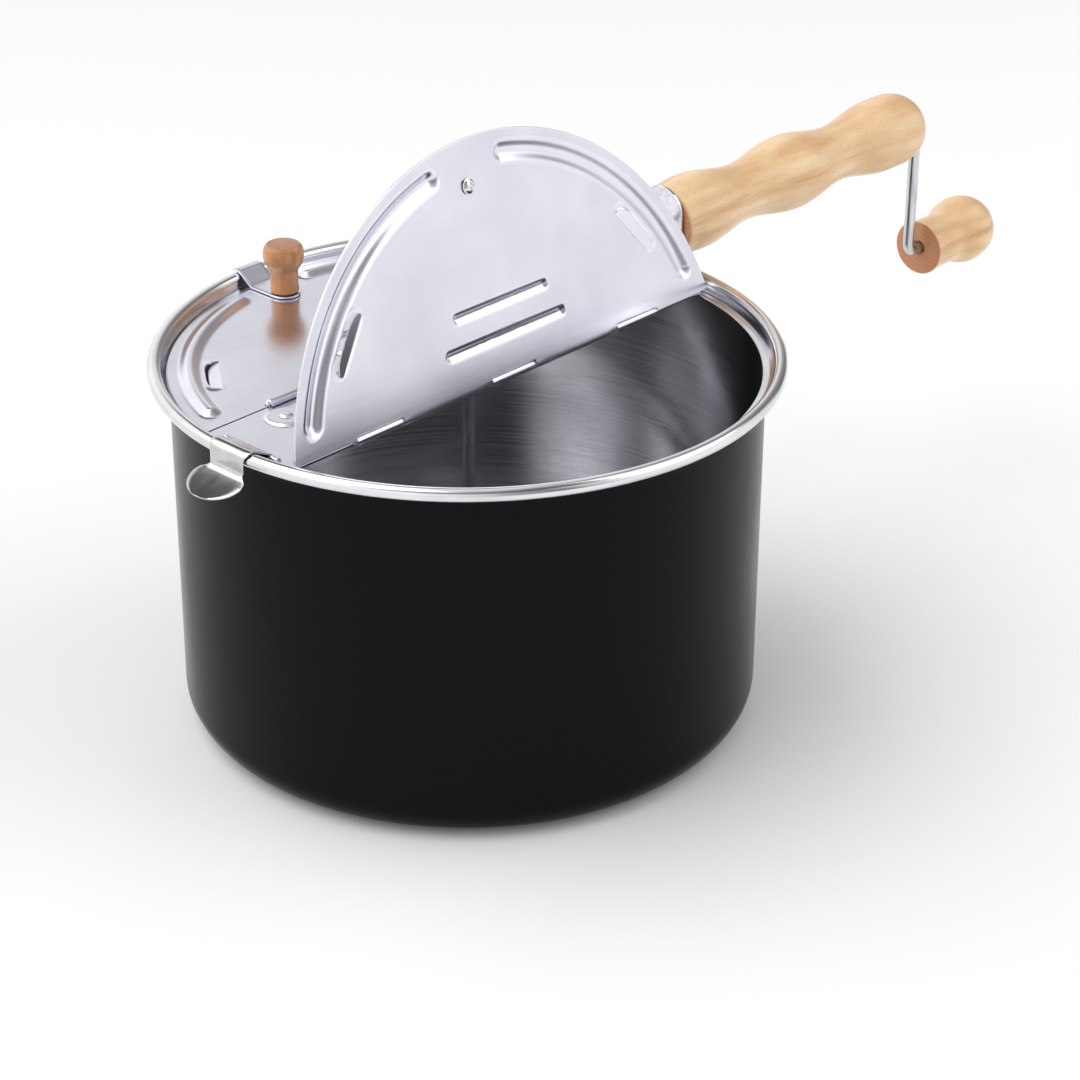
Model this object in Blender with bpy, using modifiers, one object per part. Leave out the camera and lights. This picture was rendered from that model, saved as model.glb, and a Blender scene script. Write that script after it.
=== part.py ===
"""Stovetop popcorn popper: a pot, a two-flap lid on a bridge strip, and a crank-driven stirrer.

Metres, +Z up. The origin is the centre of the pot's base. +X runs along the bridge strip
towards the handle, and +Y is the left flap's side.
"""

import math

import bmesh
import bpy
from mathutils import Matrix, Vector

# Pot
RIM_OUTER_RADIUS = 0.1270
RIM_OVERHANG = 0.0084  # from the pot's side out to the rim's edge
BEAD_RADIUS = 0.0028
POT_WALL = 0.0015
POT_HEIGHT = 0.1560
BOTTOM_CORNER_RADIUS = 0.0140
LID_SEAT_DEPTH = 0.0062  # rim top down to the ledge that carries the lid
RIM_NECK_DROP = 0.0034  # ledge down to where the straight side starts
LEDGE_SPARE = 0.0007  # the ledge's reach beyond the lid's edge
POT_STEPS = 72

# Clearances
REST_GAP = 0.0003  # between pieces that lie on each other
RUNNING_GAP = 0.00025  # radial, round pins and shafts
RIM_GAP = 0.0022  # between the lid's edge and the bead

# Bridge strip and flaps
BRIDGE_THICKNESS = 0.0012
BRIDGE_HALF_WIDTH = 0.0232
BRIDGE_CORNER_RADIUS = 0.0025
FLAP_THICKNESS = 0.0010
HINGE_SIDE_GAP = 0.0006  # bridge edge to hinge line
FLAP_SIDE_GAP = 0.0005  # hinge line to flap edge
HINGE_PIN_RADIUS = 0.0007
CURL_WALL = 0.00105
KNUCKLE_END_GAP = 0.0005
OUTER_KNUCKLE_INSET = 0.0342  # lid edge in to the outer knuckle's outer end
OUTER_KNUCKLE_LENGTH = 0.0240
MIDDLE_KNUCKLE_LENGTH = 0.0240
PIN_OVERHANG = 0.0010
RIGHT_FLAP_OPEN_ANGLE = math.radians(104.5)

# Pressed ribs, vents and boss
ARC_RIB_INSET = 0.0097  # lid edge in to the rib's middle
ARC_RIB_START = math.radians(17.0)  # from the bridge's own line
ARC_RIB_ENDS = (math.radians(79.0), math.radians(84.5))  # the near rib, the far rib
RIB_HALF_WIDTH = 0.0043
RIB_HEIGHT = 0.0015
RIB_SINK = 0.00008  # keeps a rib's widest line clear of the sheet's face
BAR_RIB_HALF_WIDTH = 0.0027
BAR_RIB_OFFSETS = (0.0400, 0.0530)  # from the pot's middle plane
BAR_RIB_HALF_LENGTHS = (0.0340, 0.0270)
SLOT_INSET = 0.0186
SLOT_ANGLE = math.radians(37.0)
SLOT_LENGTH = 0.0240
SLOT_WIDTH = 0.0062
BOSS_INSET = 0.0320  # lid edge in to the pressed boss on the bridge
BOSS_OFFSET = 0.0118  # towards the left flap
BOSS_RADIUS = 0.0088
BOSS_HEIGHT = 0.0009
BOSS_BUTTON_RADIUS = 0.0028

# Lid knobs
KNOB_INSET = 0.0182
KNOB_X = -0.0060  # towards the near clip
KNOB_HEIGHT = 0.0210
KNOB_BALL_RADIUS = 0.0086
KNOB_BALL_DROP = 0.0045  # flat top down to the middle of the ball
KNOB_NECK_RADIUS = 0.0059
KNOB_BORE_DEPTH = 0.0140
KNOB_SCREW_RADIUS = 0.0016
KNOB_SCREW_HEAD_RADIUS = 0.0032
KNOB_SCREW_HEAD_HEIGHT = 0.0017
KNOB_SCREW_END_GAP = 0.0010
WASHER_THICKNESS = 0.0008
WASHER_RADIUS = 0.0070
TAB_HALF_WIDTH = 0.0066
TAB_RAMP_INSET = 0.0032  # lid edge in to where the tab starts to climb
TAB_END_INSET = 0.0007  # rim's outer edge in to the tab's end

# Clips over the rim
CLIP_THICKNESS = 0.0008
CLIP_HALF_WIDTH = 0.0115
CLIP_RIM_GAP = 0.0004
CLIP_LEG = 0.0037
CLIP_FLARE_RADIUS = 0.0035
CLIP_FLARE_ANGLE = math.radians(70.0)
CLIP_LOBE_LENGTH = 0.0140
CLIP_LOBE_HALF_WIDTH = 0.0128
CLIP_NECK_HALF_WIDTH = 0.0088
NEAR_CLIP_THICKNESS = 0.0006
NEAR_CLIP_HALF_WIDTH = 0.0103
CLIP_PIN_RADIUS = 0.00065
CLIP_PIN_GAP = 0.0002
CLIP_PIN_INSET = 0.0040  # lid edge in to the clip's pin
CLIP_CURL_WRAP = math.radians(260.0)
CLIP_NOTCH_GAP = 0.00035  # round the clip's curl in the bridge's end
LUG_WIDTH = 0.0040
FAR_TAIL_LENGTH = 0.0160
FAR_TAIL_HALF_WIDTH = 0.0080
FAR_TAIL_END_INSET = 0.0065

# Rivets
RIVET_RADIUS = 0.0014
RIVET_HEAD_RADIUS = 0.0024
RIVET_HEAD_HEIGHT = 0.0012
RIVET_FOOT_HEIGHT = 0.0008

# Handle and its bracket
HANDLE_AXIS_HEIGHT = 0.0241  # above the bridge's top
BRACKET_THICKNESS = 0.0015
BRACKET_EDGE_INSET = 0.0021  # lid edge in to the upright's outer face
BRACKET_TOP_RADIUS = 0.0115
BRACKET_TOP_RISE = 0.0050  # handle's axis up to the middle of the round top
BRACKET_FOOT_HALF_WIDTH = 0.0185
BRACKET_FOOT_LENGTH = 0.0190
BRACKET_BEND_RADIUS = 0.0010
BRACKET_WINDOW_HEIGHT = 0.0085
CLIP_WINDOW_GAP = 0.0007
HANDLE_LENGTH = 0.1720
HANDLE_MEAN_RADIUS = 0.0145
HANDLE_WAVE = 0.0020
HANDLE_WAVE_PITCH = 0.0650
HANDLE_FIRST_CREST = 0.0166
HANDLE_START_HOLD = 0.0060  # nearer the bracket than this, the wave stands still
HANDLE_END_ROUND = 0.0170
HANDLE_END_RADIUS = 0.0070
HANDLE_CHAMFER = 0.0012
HANDLE_SCREW_OFFSET = 0.0068
HANDLE_SCREW_DROP = 0.0012
HANDLE_SCREW_RADIUS = 0.0015
HANDLE_SCREW_LENGTH = 0.0200
HANDLE_SCREW_HEAD_RADIUS = 0.0026
HANDLE_SCREW_HEAD_HEIGHT = 0.0016

# Crank
ROD_RADIUS = 0.0025
CRANK_ARM_GAP = 0.0032  # handle end to the arm's near side
CRANK_BEND_RADIUS = 0.0050
CRANK_THROW = 0.0662
CRANK_KNOB_GAP = 0.0032
CRANK_KNOB_LENGTH = 0.0490
CRANK_KNOB_BALL_LENGTH = 0.0350
CRANK_KNOB_RADIUS = 0.0162
CRANK_KNOB_FACE_RADIUS = 0.0130
CRANK_KNOB_NECK_RADIUS = 0.0118
CRANK_KNOB_NECK_FADE = 0.0035
CRANK_KNOB_BORE_DEPTH = 0.0340
CRANK_KNOB_RECESS_RADIUS = 0.0036
CRANK_KNOB_RECESS_DEPTH = 0.0015

# Gears: both have the same teeth, and their axes cross
GEAR_TEETH = 12
GEAR_PITCH_RADIUS = 0.0100
GEAR_FACE_LENGTH = 0.0040
GEAR_ADDENDUM = 0.0010
GEAR_DEDENDUM = 0.00135
GEAR_TOOTH_SHARE = 0.38  # tooth thickness over tooth pitch
GEAR_PRESSURE_ANGLE = math.radians(20.0)
GEAR_HUB_RADIUS = 0.0052
DRIVE_HUB_LENGTH = 0.0064
GEAR_BRACKET_THICKNESS = 0.0012
GEAR_BRACKET_HALF_WIDTH = 0.0090
GEAR_SIDE_ROOM = 0.0020  # stirrer gear's teeth to the inner ear
RING_RADIUS = 0.0050
RING_THICKNESS = 0.0012
ROD_END_OVERHANG = 0.0010

# Stirrer
BUSH_WALL = 0.0018
BUSH_FLANGE_RADIUS = 0.0060
BUSH_FLANGE_THICKNESS = 0.0012
BUSH_DROP = 0.0008  # below the bridge
SHAFT_RADIUS = 0.0025
SHAFT_TOP_ROOM = 0.0020  # under the crank rod
SHAFT_FOOT = 0.0028  # shaft below the wire's middle
RING_DROP = 0.0014
WIRE_RADIUS = 0.0015
WIRE_FLOOR_GAP = 0.0020
WIRE_WALL_GAP = 0.0100
WIRE_TURN_RADIUS = 0.0070
WIRE_RETURN = 0.0560
STIRRER_ANGLE = math.radians(24.0)

# Derived places and sizes
BODY_OUTER_RADIUS = RIM_OUTER_RADIUS - RIM_OVERHANG
BODY_INNER_RADIUS = BODY_OUTER_RADIUS - POT_WALL
BEAD_CENTRE_RADIUS = RIM_OUTER_RADIUS - BEAD_RADIUS
BEAD_CENTRE_Z = POT_HEIGHT - BEAD_RADIUS
LEDGE_Z = POT_HEIGHT - LID_SEAT_DEPTH
LID_RADIUS = RIM_OUTER_RADIUS - 2 * BEAD_RADIUS - RIM_GAP
LID_BOTTOM_Z = LEDGE_Z + REST_GAP
BRIDGE_TOP_Z = LID_BOTTOM_Z + BRIDGE_THICKNESS
CURL_BORE = HINGE_PIN_RADIUS + RUNNING_GAP
CURL_RADIUS = CURL_BORE + CURL_WALL
HINGE_Y = BRIDGE_HALF_WIDTH + HINGE_SIDE_GAP
HINGE_Z = LID_BOTTOM_Z + CURL_RADIUS
OUTER_KNUCKLE_END = LID_RADIUS - OUTER_KNUCKLE_INSET
OUTER_KNUCKLE_START = OUTER_KNUCKLE_END - OUTER_KNUCKLE_LENGTH
MIDDLE_KNUCKLE_END = MIDDLE_KNUCKLE_LENGTH / 2
FLAP_KNUCKLE_START = MIDDLE_KNUCKLE_END + KNUCKLE_END_GAP
FLAP_KNUCKLE_END = OUTER_KNUCKLE_START - KNUCKLE_END_GAP
KNUCKLE_NOTCH = CURL_RADIUS + REST_GAP
FLAP_TOP = FLAP_THICKNESS - CURL_RADIUS  # above the hinge line, as is FLAP_BOTTOM
FLAP_BOTTOM = -CURL_RADIUS
KNOB_Y = LID_RADIUS - KNOB_INSET - HINGE_Y  # out from the hinge line
KNOB_SEAT = FLAP_TOP + REST_GAP + WASHER_THICKNESS + REST_GAP
KNOB_SCREW_HOLE = KNOB_SCREW_RADIUS + REST_GAP
SHEET_ON_BRIDGE_Z = BRIDGE_TOP_Z + REST_GAP
HANDLE_Z = BRIDGE_TOP_Z + HANDLE_AXIS_HEIGHT
CLIP_PIN_X = LID_RADIUS - CLIP_PIN_INSET
CLIP_BORE = CLIP_PIN_RADIUS + CLIP_PIN_GAP
CLIP_CURL_RADIUS = CLIP_BORE + NEAR_CLIP_THICKNESS
CLIP_PIN_Z = LID_BOTTOM_Z + CLIP_CURL_RADIUS
LUG_INNER_Y = NEAR_CLIP_HALF_WIDTH + CLIP_NOTCH_GAP
BRACKET_FACE_X = LID_RADIUS - BRACKET_EDGE_INSET
HANDLE_START_X = BRACKET_FACE_X + REST_GAP
HANDLE_END_X = HANDLE_START_X + HANDLE_LENGTH
CRANK_ARM_X = HANDLE_END_X + CRANK_ARM_GAP + ROD_RADIUS
CRANK_KNOB_X = CRANK_ARM_X + CRANK_BEND_RADIUS + CRANK_KNOB_GAP
CRANK_KNOB_Z = HANDLE_Z - CRANK_THROW
ROD_BORE = ROD_RADIUS + REST_GAP
GEAR_CONE_DISTANCE = math.hypot(GEAR_PITCH_RADIUS, GEAR_PITCH_RADIUS)
GEAR_TIP_RADIUS = GEAR_PITCH_RADIUS * math.tan(math.pi / 4 + GEAR_ADDENDUM / GEAR_CONE_DISTANCE)
GEAR_ROOT_RADIUS = GEAR_PITCH_RADIUS * math.tan(math.pi / 4 - GEAR_DEDENDUM / GEAR_CONE_DISTANCE)
INNER_EAR_X = -(GEAR_TIP_RADIUS + GEAR_SIDE_ROOM)
OUTER_EAR_X = GEAR_PITCH_RADIUS + DRIVE_HUB_LENGTH + REST_GAP
GEAR_BRACKET_TOP_Z = SHEET_ON_BRIDGE_Z + GEAR_BRACKET_THICKNESS
BUSH_FLANGE_Z = GEAR_BRACKET_TOP_Z + REST_GAP
STIRRER_HUB_LENGTH = (
    HANDLE_Z - GEAR_PITCH_RADIUS - BUSH_FLANGE_Z - BUSH_FLANGE_THICKNESS - REST_GAP
)
BUSH_BORE = SHAFT_RADIUS + REST_GAP
BUSH_RADIUS = BUSH_BORE + BUSH_WALL
BUSH_HOLE = BUSH_RADIUS + REST_GAP
WIRE_Z = POT_WALL + WIRE_FLOOR_GAP + WIRE_RADIUS
WIRE_REACH = BODY_INNER_RADIUS - WIRE_WALL_GAP
BRIDGE_RIVET_HOLE = RIVET_RADIUS + REST_GAP
BRACKET_RIVET_X = LID_RADIUS - 0.0142
BRACKET_WINDOW_HALF_WIDTH = CLIP_HALF_WIDTH + CLIP_WINDOW_GAP
BRACKET_RIVET_Y = (BRACKET_WINDOW_HALF_WIDTH + BRACKET_FOOT_HALF_WIDTH) / 2
FAR_TAIL_END_X = LID_RADIUS - FAR_TAIL_END_INSET
FAR_TAIL_START_X = FAR_TAIL_END_X - FAR_TAIL_LENGTH
FAR_RIVET_XS = (FAR_TAIL_START_X + 0.0042, FAR_TAIL_END_X - 0.0042)
GEAR_RIVET_XS = (
    (INNER_EAR_X - BUSH_FLANGE_RADIUS) / 2,
    (OUTER_EAR_X + BUSH_FLANGE_RADIUS) / 2,
)

# Turns that lay a piece made along Z on another axis
NO_TURN = (0.0, 0.0, 0.0)
ALONG_X = (0.0, math.pi / 2, 0.0)
ALONG_Y = (-math.pi / 2, 0.0, 0.0)


def linear(channel):
    """One sRGB channel, 0 to 1, as linear light."""
    if channel <= 0.04045:
        return channel / 12.92
    return ((channel + 0.055) / 1.055) ** 2.4


def finish(name, hex_colour, metallic, roughness):
    """A plain material of one colour."""
    material = bpy.data.materials.new(name)
    material.use_nodes = True
    shader = material.node_tree.nodes["Principled BSDF"]
    channels = [linear(int(hex_colour[i : i + 2], 16) / 255) for i in (1, 3, 5)]
    shader.inputs["Base Color"].default_value = (*channels, 1.0)
    shader.inputs["Metallic"].default_value = metallic
    shader.inputs["Roughness"].default_value = roughness
    return material


def arc(centre, radius, start, end, count):
    """Points of a circular arc, angles in radians, both ends included."""
    step = (end - start) / (count - 1)
    turns = [start + step * i for i in range(count)]
    return [(centre[0] + radius * math.cos(t), centre[1] + radius * math.sin(t)) for t in turns]


def circle(centre, radius, count=20):
    """A closed ring of points."""
    return arc(centre, radius, 0.0, 2 * math.pi, count + 1)[:-1]


def add_object(name, mesh, material=None):
    """Links a new object and gives it its finish."""
    thing = bpy.data.objects.new(name, mesh)
    bpy.context.scene.collection.objects.link(thing)
    if material:
        mesh.materials.clear()
        mesh.materials.append(material)
    return thing


def from_bmesh(name, bm):
    """Turns a bmesh into an object."""
    bmesh.ops.recalc_face_normals(bm, faces=bm.faces)
    mesh = bpy.data.meshes.new(name)
    bm.to_mesh(mesh)
    bm.free()
    return add_object(name, mesh)


def place(thing, location, rotation=NO_TURN):
    """Sets an object's place and turn."""
    thing.location = location
    thing.rotation_euler = rotation
    return thing


def cylinder(name, radius, length, centre, rotation=NO_TURN, segments=20, top_radius=None):
    """A cylinder or cone about its own Z, centred on its place."""
    bm = bmesh.new()
    top = radius if top_radius is None else top_radius
    bmesh.ops.create_cone(
        bm, cap_ends=True, segments=segments, radius1=radius, radius2=top, depth=length
    )
    return place(from_bmesh(name, bm), centre, rotation)


def box(name, low, high):
    """A box between two corners."""
    bm = bmesh.new()
    bmesh.ops.create_cube(bm, size=1.0)
    size = Vector(high) - Vector(low)
    bmesh.ops.scale(bm, vec=size, verts=bm.verts)
    return place(from_bmesh(name, bm), (Vector(high) + Vector(low)) / 2)


def baked(thing):
    """The object again as a plain mesh, its doubles merged and its place kept."""
    bpy.context.view_layer.update()
    graph = bpy.context.evaluated_depsgraph_get()
    mesh = bpy.data.meshes.new_from_object(thing.evaluated_get(graph), depsgraph=graph)
    bm = bmesh.new()
    bm.from_mesh(mesh)
    bmesh.ops.remove_doubles(bm, verts=bm.verts, dist=1e-7)
    bm.to_mesh(mesh)
    bm.free()
    solid = add_object(thing.name + "_mesh", mesh)
    solid.matrix_world = thing.matrix_world
    name = thing.name
    bpy.data.objects.remove(thing)
    solid.name = name
    return solid


def plate(name, outlines, thickness):
    """A flat sheet in its own XY plane, from z 0 up, with holes where outlines lie inside one."""
    curve = bpy.data.curves.new(name, "CURVE")
    curve.dimensions = "2D"
    curve.fill_mode = "BOTH"
    curve.extrude = thickness / 2
    for outline in outlines:
        spline = curve.splines.new("POLY")
        spline.points.add(len(outline) - 1)
        for point, (x, y) in zip(spline.points, outline):
            point.co = (x, y, 0.0, 1.0)
        spline.use_cyclic_u = True
    sheet = baked(add_object(name, curve))
    sheet.data.transform(Matrix.Translation((0.0, 0.0, thickness / 2)))
    return sheet


def wire(name, points, radius, sides=12, thickness_shares=None):
    """A round bar along points, with filled ends."""
    curve = bpy.data.curves.new(name, "CURVE")
    curve.dimensions = "3D"
    curve.bevel_depth = radius
    curve.bevel_resolution = sides // 2 - 2
    curve.use_fill_caps = True
    spline = curve.splines.new("POLY")
    spline.points.add(len(points) - 1)
    shares = thickness_shares or [1.0] * len(points)
    for point, (x, y, z), share in zip(spline.points, points, shares):
        point.co = (x, y, z, 1.0)
        point.radius = share
    return baked(add_object(name, curve))


def turned(name, profile, steps, closed=False):
    """A turned shape about its own Z. The profile runs down the outer side."""
    mesh = bpy.data.meshes.new(name)
    edges = [(i, i + 1) for i in range(len(profile) - 1)]
    if closed:
        edges.append((len(profile) - 1, 0))
    mesh.from_pydata([(r, 0.0, z) for r, z in profile], edges, [])
    thing = add_object(name, mesh)
    screw = thing.modifiers.new("Turn", "SCREW")
    screw.steps = steps
    screw.render_steps = steps
    screw.use_merge_vertices = True
    screw.merge_threshold = 0.00001
    screw.use_smooth_shade = True
    return thing


def combine(base, adds=(), cuts=(), keep=()):
    """Joins, cuts and intersects the base with other solids, which are used up."""
    steps = [("UNION", tool) for tool in adds]
    steps += [("DIFFERENCE", tool) for tool in cuts]
    steps += [("INTERSECT", tool) for tool in keep]
    for operation, tool in steps:
        modifier = base.modifiers.new(operation.title(), "BOOLEAN")
        modifier.operation = operation
        modifier.object = tool
        modifier.solver = "EXACT"
        base = baked(base)
        bpy.data.objects.remove(tool)
    return base


def ribbon(path, thickness):
    """The closed outline of a strip of even thickness along a path."""
    left = []
    right = []
    for i, point in enumerate(path):
        before = Vector(path[max(i - 1, 0)])
        after = Vector(path[min(i + 1, len(path) - 1)])
        along = (after - before).normalized()
        across = Vector((-along.y, along.x)) * (thickness / 2)
        left.append(tuple(Vector(point) + across))
        right.append(tuple(Vector(point) - across))
    return left + right[::-1]


def bent_sheet(name, path, thickness, half_width):
    """A sheet bent along a path in the XZ plane and as wide as given along Y."""
    sheet = plate(name, [ribbon(path, thickness)], 2 * half_width)
    sheet.data.transform(Matrix.Rotation(math.pi / 2, 4, "X"))
    sheet.data.transform(Matrix.Translation((0.0, half_width, 0.0)))
    return sheet


def across_x(name, outlines, low_x, high_x):
    """A prism along X whose outlines are given as (y, z)."""
    prism = plate(name, outlines, high_x - low_x)
    prism.data.transform(Matrix(((0, 0, 1, low_x), (1, 0, 0, 0), (0, 1, 0, 0), (0, 0, 0, 1))))
    return prism


def up_z(name, outlines, low_z, high_z):
    """A prism along Z whose outlines are given as (x, y)."""
    prism = plate(name, outlines, high_z - low_z)
    prism.data.transform(Matrix.Translation((0.0, 0.0, low_z)))
    return prism


def finished(thing, name, material, parent=None):
    """Names a piece, gives it its finish and its parent, and smooths its round faces."""
    thing.name = name
    thing.data.name = name
    thing.data.materials.clear()
    thing.data.materials.append(material)
    if not thing.modifiers:
        thing.data.shade_smooth()
        thing.data.set_sharp_from_angle(angle=math.radians(32))
    thing.parent = parent
    return thing


def guide(name, location, rotation=NO_TURN, parent=None):
    """An empty on a joint's axis."""
    empty = bpy.data.objects.new(name, None)
    empty.empty_display_size = 0.02
    empty.hide_render = True
    bpy.context.scene.collection.objects.link(empty)
    empty.parent = parent
    return place(empty, location, rotation)


def pot_profile():
    """Down the pot's wall from the middle of its floor: inside, over the bead, outside."""
    corner = BOTTOM_CORNER_RADIUS
    inner_corner = corner - POT_WALL
    floor_edge = (BODY_INNER_RADIUS - inner_corner, POT_WALL + inner_corner)
    points = [(0.0, POT_WALL)]
    points += arc(floor_edge, inner_corner, -math.pi / 2, 0.0, 6)
    points.append((BODY_INNER_RADIUS, LEDGE_Z))
    points.append((LID_RADIUS + LEDGE_SPARE, LEDGE_Z))
    bead = (BEAD_CENTRE_RADIUS, BEAD_CENTRE_Z)
    points += arc(bead, BEAD_RADIUS, math.pi, math.pi / 2, 5)
    points += arc(bead, BEAD_RADIUS, math.pi / 2, math.radians(-130), 11)[1:]
    points.append((BODY_OUTER_RADIUS, LEDGE_Z - RIM_NECK_DROP))
    points += arc((BODY_OUTER_RADIUS - corner, corner), corner, 0.0, -math.pi / 2, 7)
    points.append((0.0, 0.0))
    return points


def make_pot(finishes):
    finished(turned("pot", pot_profile(), POT_STEPS), "pot_body", finishes["enamel"])


def side_edge(line, notches, depth):
    """Points along a straight sheet edge from high X to low X, with square notches."""
    points = []
    for low, high in notches:
        points += [(high, line), (high, depth), (low, depth), (low, line)]
    return points


def bridge_outline():
    """The bridge strip seen from above, counter-clockwise, with notches for the flaps' knuckles."""
    corner = BRIDGE_CORNER_RADIUS
    side = BRIDGE_HALF_WIDTH
    end_x = math.sqrt(LID_RADIUS**2 - side**2)
    reach = math.asin((side - corner) / LID_RADIUS)
    notch = HINGE_Y - KNUCKLE_NOTCH
    low = FLAP_KNUCKLE_START - KNUCKLE_END_GAP
    high = FLAP_KNUCKLE_END + KNUCKLE_END_GAP
    quarter = math.pi / 2
    points = arc((0.0, 0.0), LID_RADIUS, -reach, reach, 9)
    points += arc((end_x - corner, side - corner), corner, reach, quarter, 5)[1:]
    points += side_edge(side, [(low, high), (-high, -low)], notch)
    points += arc((corner - end_x, side - corner), corner, quarter, 2 * quarter - reach, 5)
    curl_y = LUG_INNER_Y
    curl_x = CLIP_PIN_X - CLIP_CURL_RADIUS - CLIP_NOTCH_GAP
    turn = math.asin(curl_y / LID_RADIUS)
    points += arc((0.0, 0.0), LID_RADIUS, math.pi - reach, math.pi - turn, 5)
    points += [(-curl_x, curl_y), (-curl_x, -curl_y)]
    points += arc((0.0, 0.0), LID_RADIUS, math.pi + turn, math.pi + reach, 5)
    return points + [(-x, -y) for x, y in points[9:-12]]


def knuckles(spans, centre_y, centre_z):
    """Solid round bars along X that become a hinge's curls."""
    bars = []
    for low, high in spans:
        middle = ((low + high) / 2, centre_y, centre_z)
        bars.append(cylinder("knuckle", CURL_RADIUS, high - low, middle, ALONG_X, 16))
    return bars


def bores(spans, centre_y, centre_z):
    """Cutters for the pin through the curls, a little longer than each."""
    bars = []
    for low, high in spans:
        middle = ((low + high) / 2, centre_y, centre_z)
        length = high - low + KNUCKLE_END_GAP
        bars.append(cylinder("bore", CURL_BORE, length, middle, ALONG_X, 12))
    return bars


def drill(centre, radius, segments):
    """A cutter for an upright hole through the sheets on the lid."""
    middle = (*centre, (LID_BOTTOM_Z + GEAR_BRACKET_TOP_Z) / 2)
    return cylinder("drill", radius, 0.0100, middle, NO_TURN, segments)


def make_bridge(finishes):
    strip = up_z("strip", [bridge_outline()], LID_BOTTOM_Z, BRIDGE_TOP_Z)
    rivets = [(x, 0.0) for x in (*GEAR_RIVET_XS, *FAR_RIVET_XS)]
    rivets += [(BRACKET_RIVET_X, BRACKET_RIVET_Y), (BRACKET_RIVET_X, -BRACKET_RIVET_Y)]
    drills = [drill(centre, BRIDGE_RIVET_HOLE, 12) for centre in rivets]
    drills.append(drill((0.0, 0.0), BUSH_HOLE, 24))
    strip = combine(strip, cuts=drills)
    spans = [
        (-OUTER_KNUCKLE_END, -OUTER_KNUCKLE_START),
        (-MIDDLE_KNUCKLE_END, MIDDLE_KNUCKLE_END),
        (OUTER_KNUCKLE_START, OUTER_KNUCKLE_END),
    ]
    adds = []
    cuts = []
    for side in (-1, 1):
        adds += knuckles(spans, side * HINGE_Y, HINGE_Z)
        cuts += bores(spans, side * HINGE_Y, HINGE_Z)
        low_y, high_y = sorted((side * LUG_INNER_Y, side * (LUG_INNER_Y + LUG_WIDTH)))
        lug_middle = (-CLIP_PIN_X, (low_y + high_y) / 2, CLIP_PIN_Z)
        adds.append(cylinder("lug", CLIP_CURL_RADIUS, LUG_WIDTH, lug_middle, ALONG_Y, 16))
        bore_length = LUG_WIDTH + 8 * RUNNING_GAP
        cuts.append(cylinder("lug_bore", CLIP_BORE, bore_length, lug_middle, ALONG_Y, 12))
    boss_x = BOSS_INSET - LID_RADIUS
    sink = BRIDGE_THICKNESS / 2
    for radius, low, height in (
        (BOSS_RADIUS, 0.0, BOSS_HEIGHT),
        (BOSS_BUTTON_RADIUS, BOSS_HEIGHT, BOSS_HEIGHT),
    ):
        middle_z = BRIDGE_TOP_Z + low + (height - sink) / 2
        middle = (boss_x, BOSS_OFFSET, middle_z)
        adds.append(cylinder("boss", radius, height + sink, middle, NO_TURN, 24, radius * 0.88))
    finished(combine(strip, adds, cuts), "lid_bridge", finishes["lid"])


def stadium(centre, direction, length, width, count=7):
    """A slot with round ends, as a closed outline."""
    turn = math.atan2(direction[1], direction[0])
    radius = width / 2
    reach = length / 2 - radius
    ends = []
    for sign in (1, -1):
        cx = centre[0] + sign * reach * math.cos(turn)
        cy = centre[1] + sign * reach * math.sin(turn)
        start = turn - math.pi / 2 + (0.0 if sign > 0 else math.pi)
        ends += arc((cx, cy), radius, start, start + math.pi, count)
    return ends


def flap_outline():
    """The flap seen from above, from the hinge line outwards, counter-clockwise."""
    start = math.asin((HINGE_Y + FLAP_SIDE_GAP) / LID_RADIUS)
    rim = arc((0.0, -HINGE_Y), LID_RADIUS, start, math.pi - start, 33)
    spans = [
        (OUTER_KNUCKLE_START - KNUCKLE_END_GAP, OUTER_KNUCKLE_END + KNUCKLE_END_GAP),
        (-MIDDLE_KNUCKLE_END - KNUCKLE_END_GAP, MIDDLE_KNUCKLE_END + KNUCKLE_END_GAP),
        (-OUTER_KNUCKLE_END - KNUCKLE_END_GAP, KNUCKLE_END_GAP - OUTER_KNUCKLE_START),
    ]
    edge = side_edge(FLAP_SIDE_GAP, spans, KNUCKLE_NOTCH)
    return rim + edge[::-1]


def pressed_rib(name, points, half_width, face_z):
    """A flattened bar with tapered ends, lying on a face of the sheet."""
    shares = [0.3, 0.8] + [1.0] * (len(points) - 4) + [0.8, 0.3]
    bar = wire(name, [(x, y, 0.0) for x, y in points], half_width, 12, shares)
    bar.data.transform(Matrix.Diagonal((1.0, 1.0, (RIB_HEIGHT + RIB_SINK) / half_width, 1.0)))
    return place(bar, (0.0, 0.0, face_z - RIB_SINK))


def rib_paths(hand):
    """The middle line and half width of each pressed rib on the flap."""
    radius = LID_RADIUS - ARC_RIB_INSET
    paths = []
    for side, end in zip((-hand, hand), ARC_RIB_ENDS):
        line = arc((0.0, -HINGE_Y), radius, ARC_RIB_START, end, 17)
        paths.append(([(side * x, y) for x, y in line], RIB_HALF_WIDTH))
    for offset, reach in zip(BAR_RIB_OFFSETS, BAR_RIB_HALF_LENGTHS):
        y = offset - HINGE_Y
        stops = (-1.0, -0.93, -0.5, 0.5, 0.93, 1.0)
        paths.append(([(reach * stop, y) for stop in stops], BAR_RIB_HALF_WIDTH))
    return paths


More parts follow.
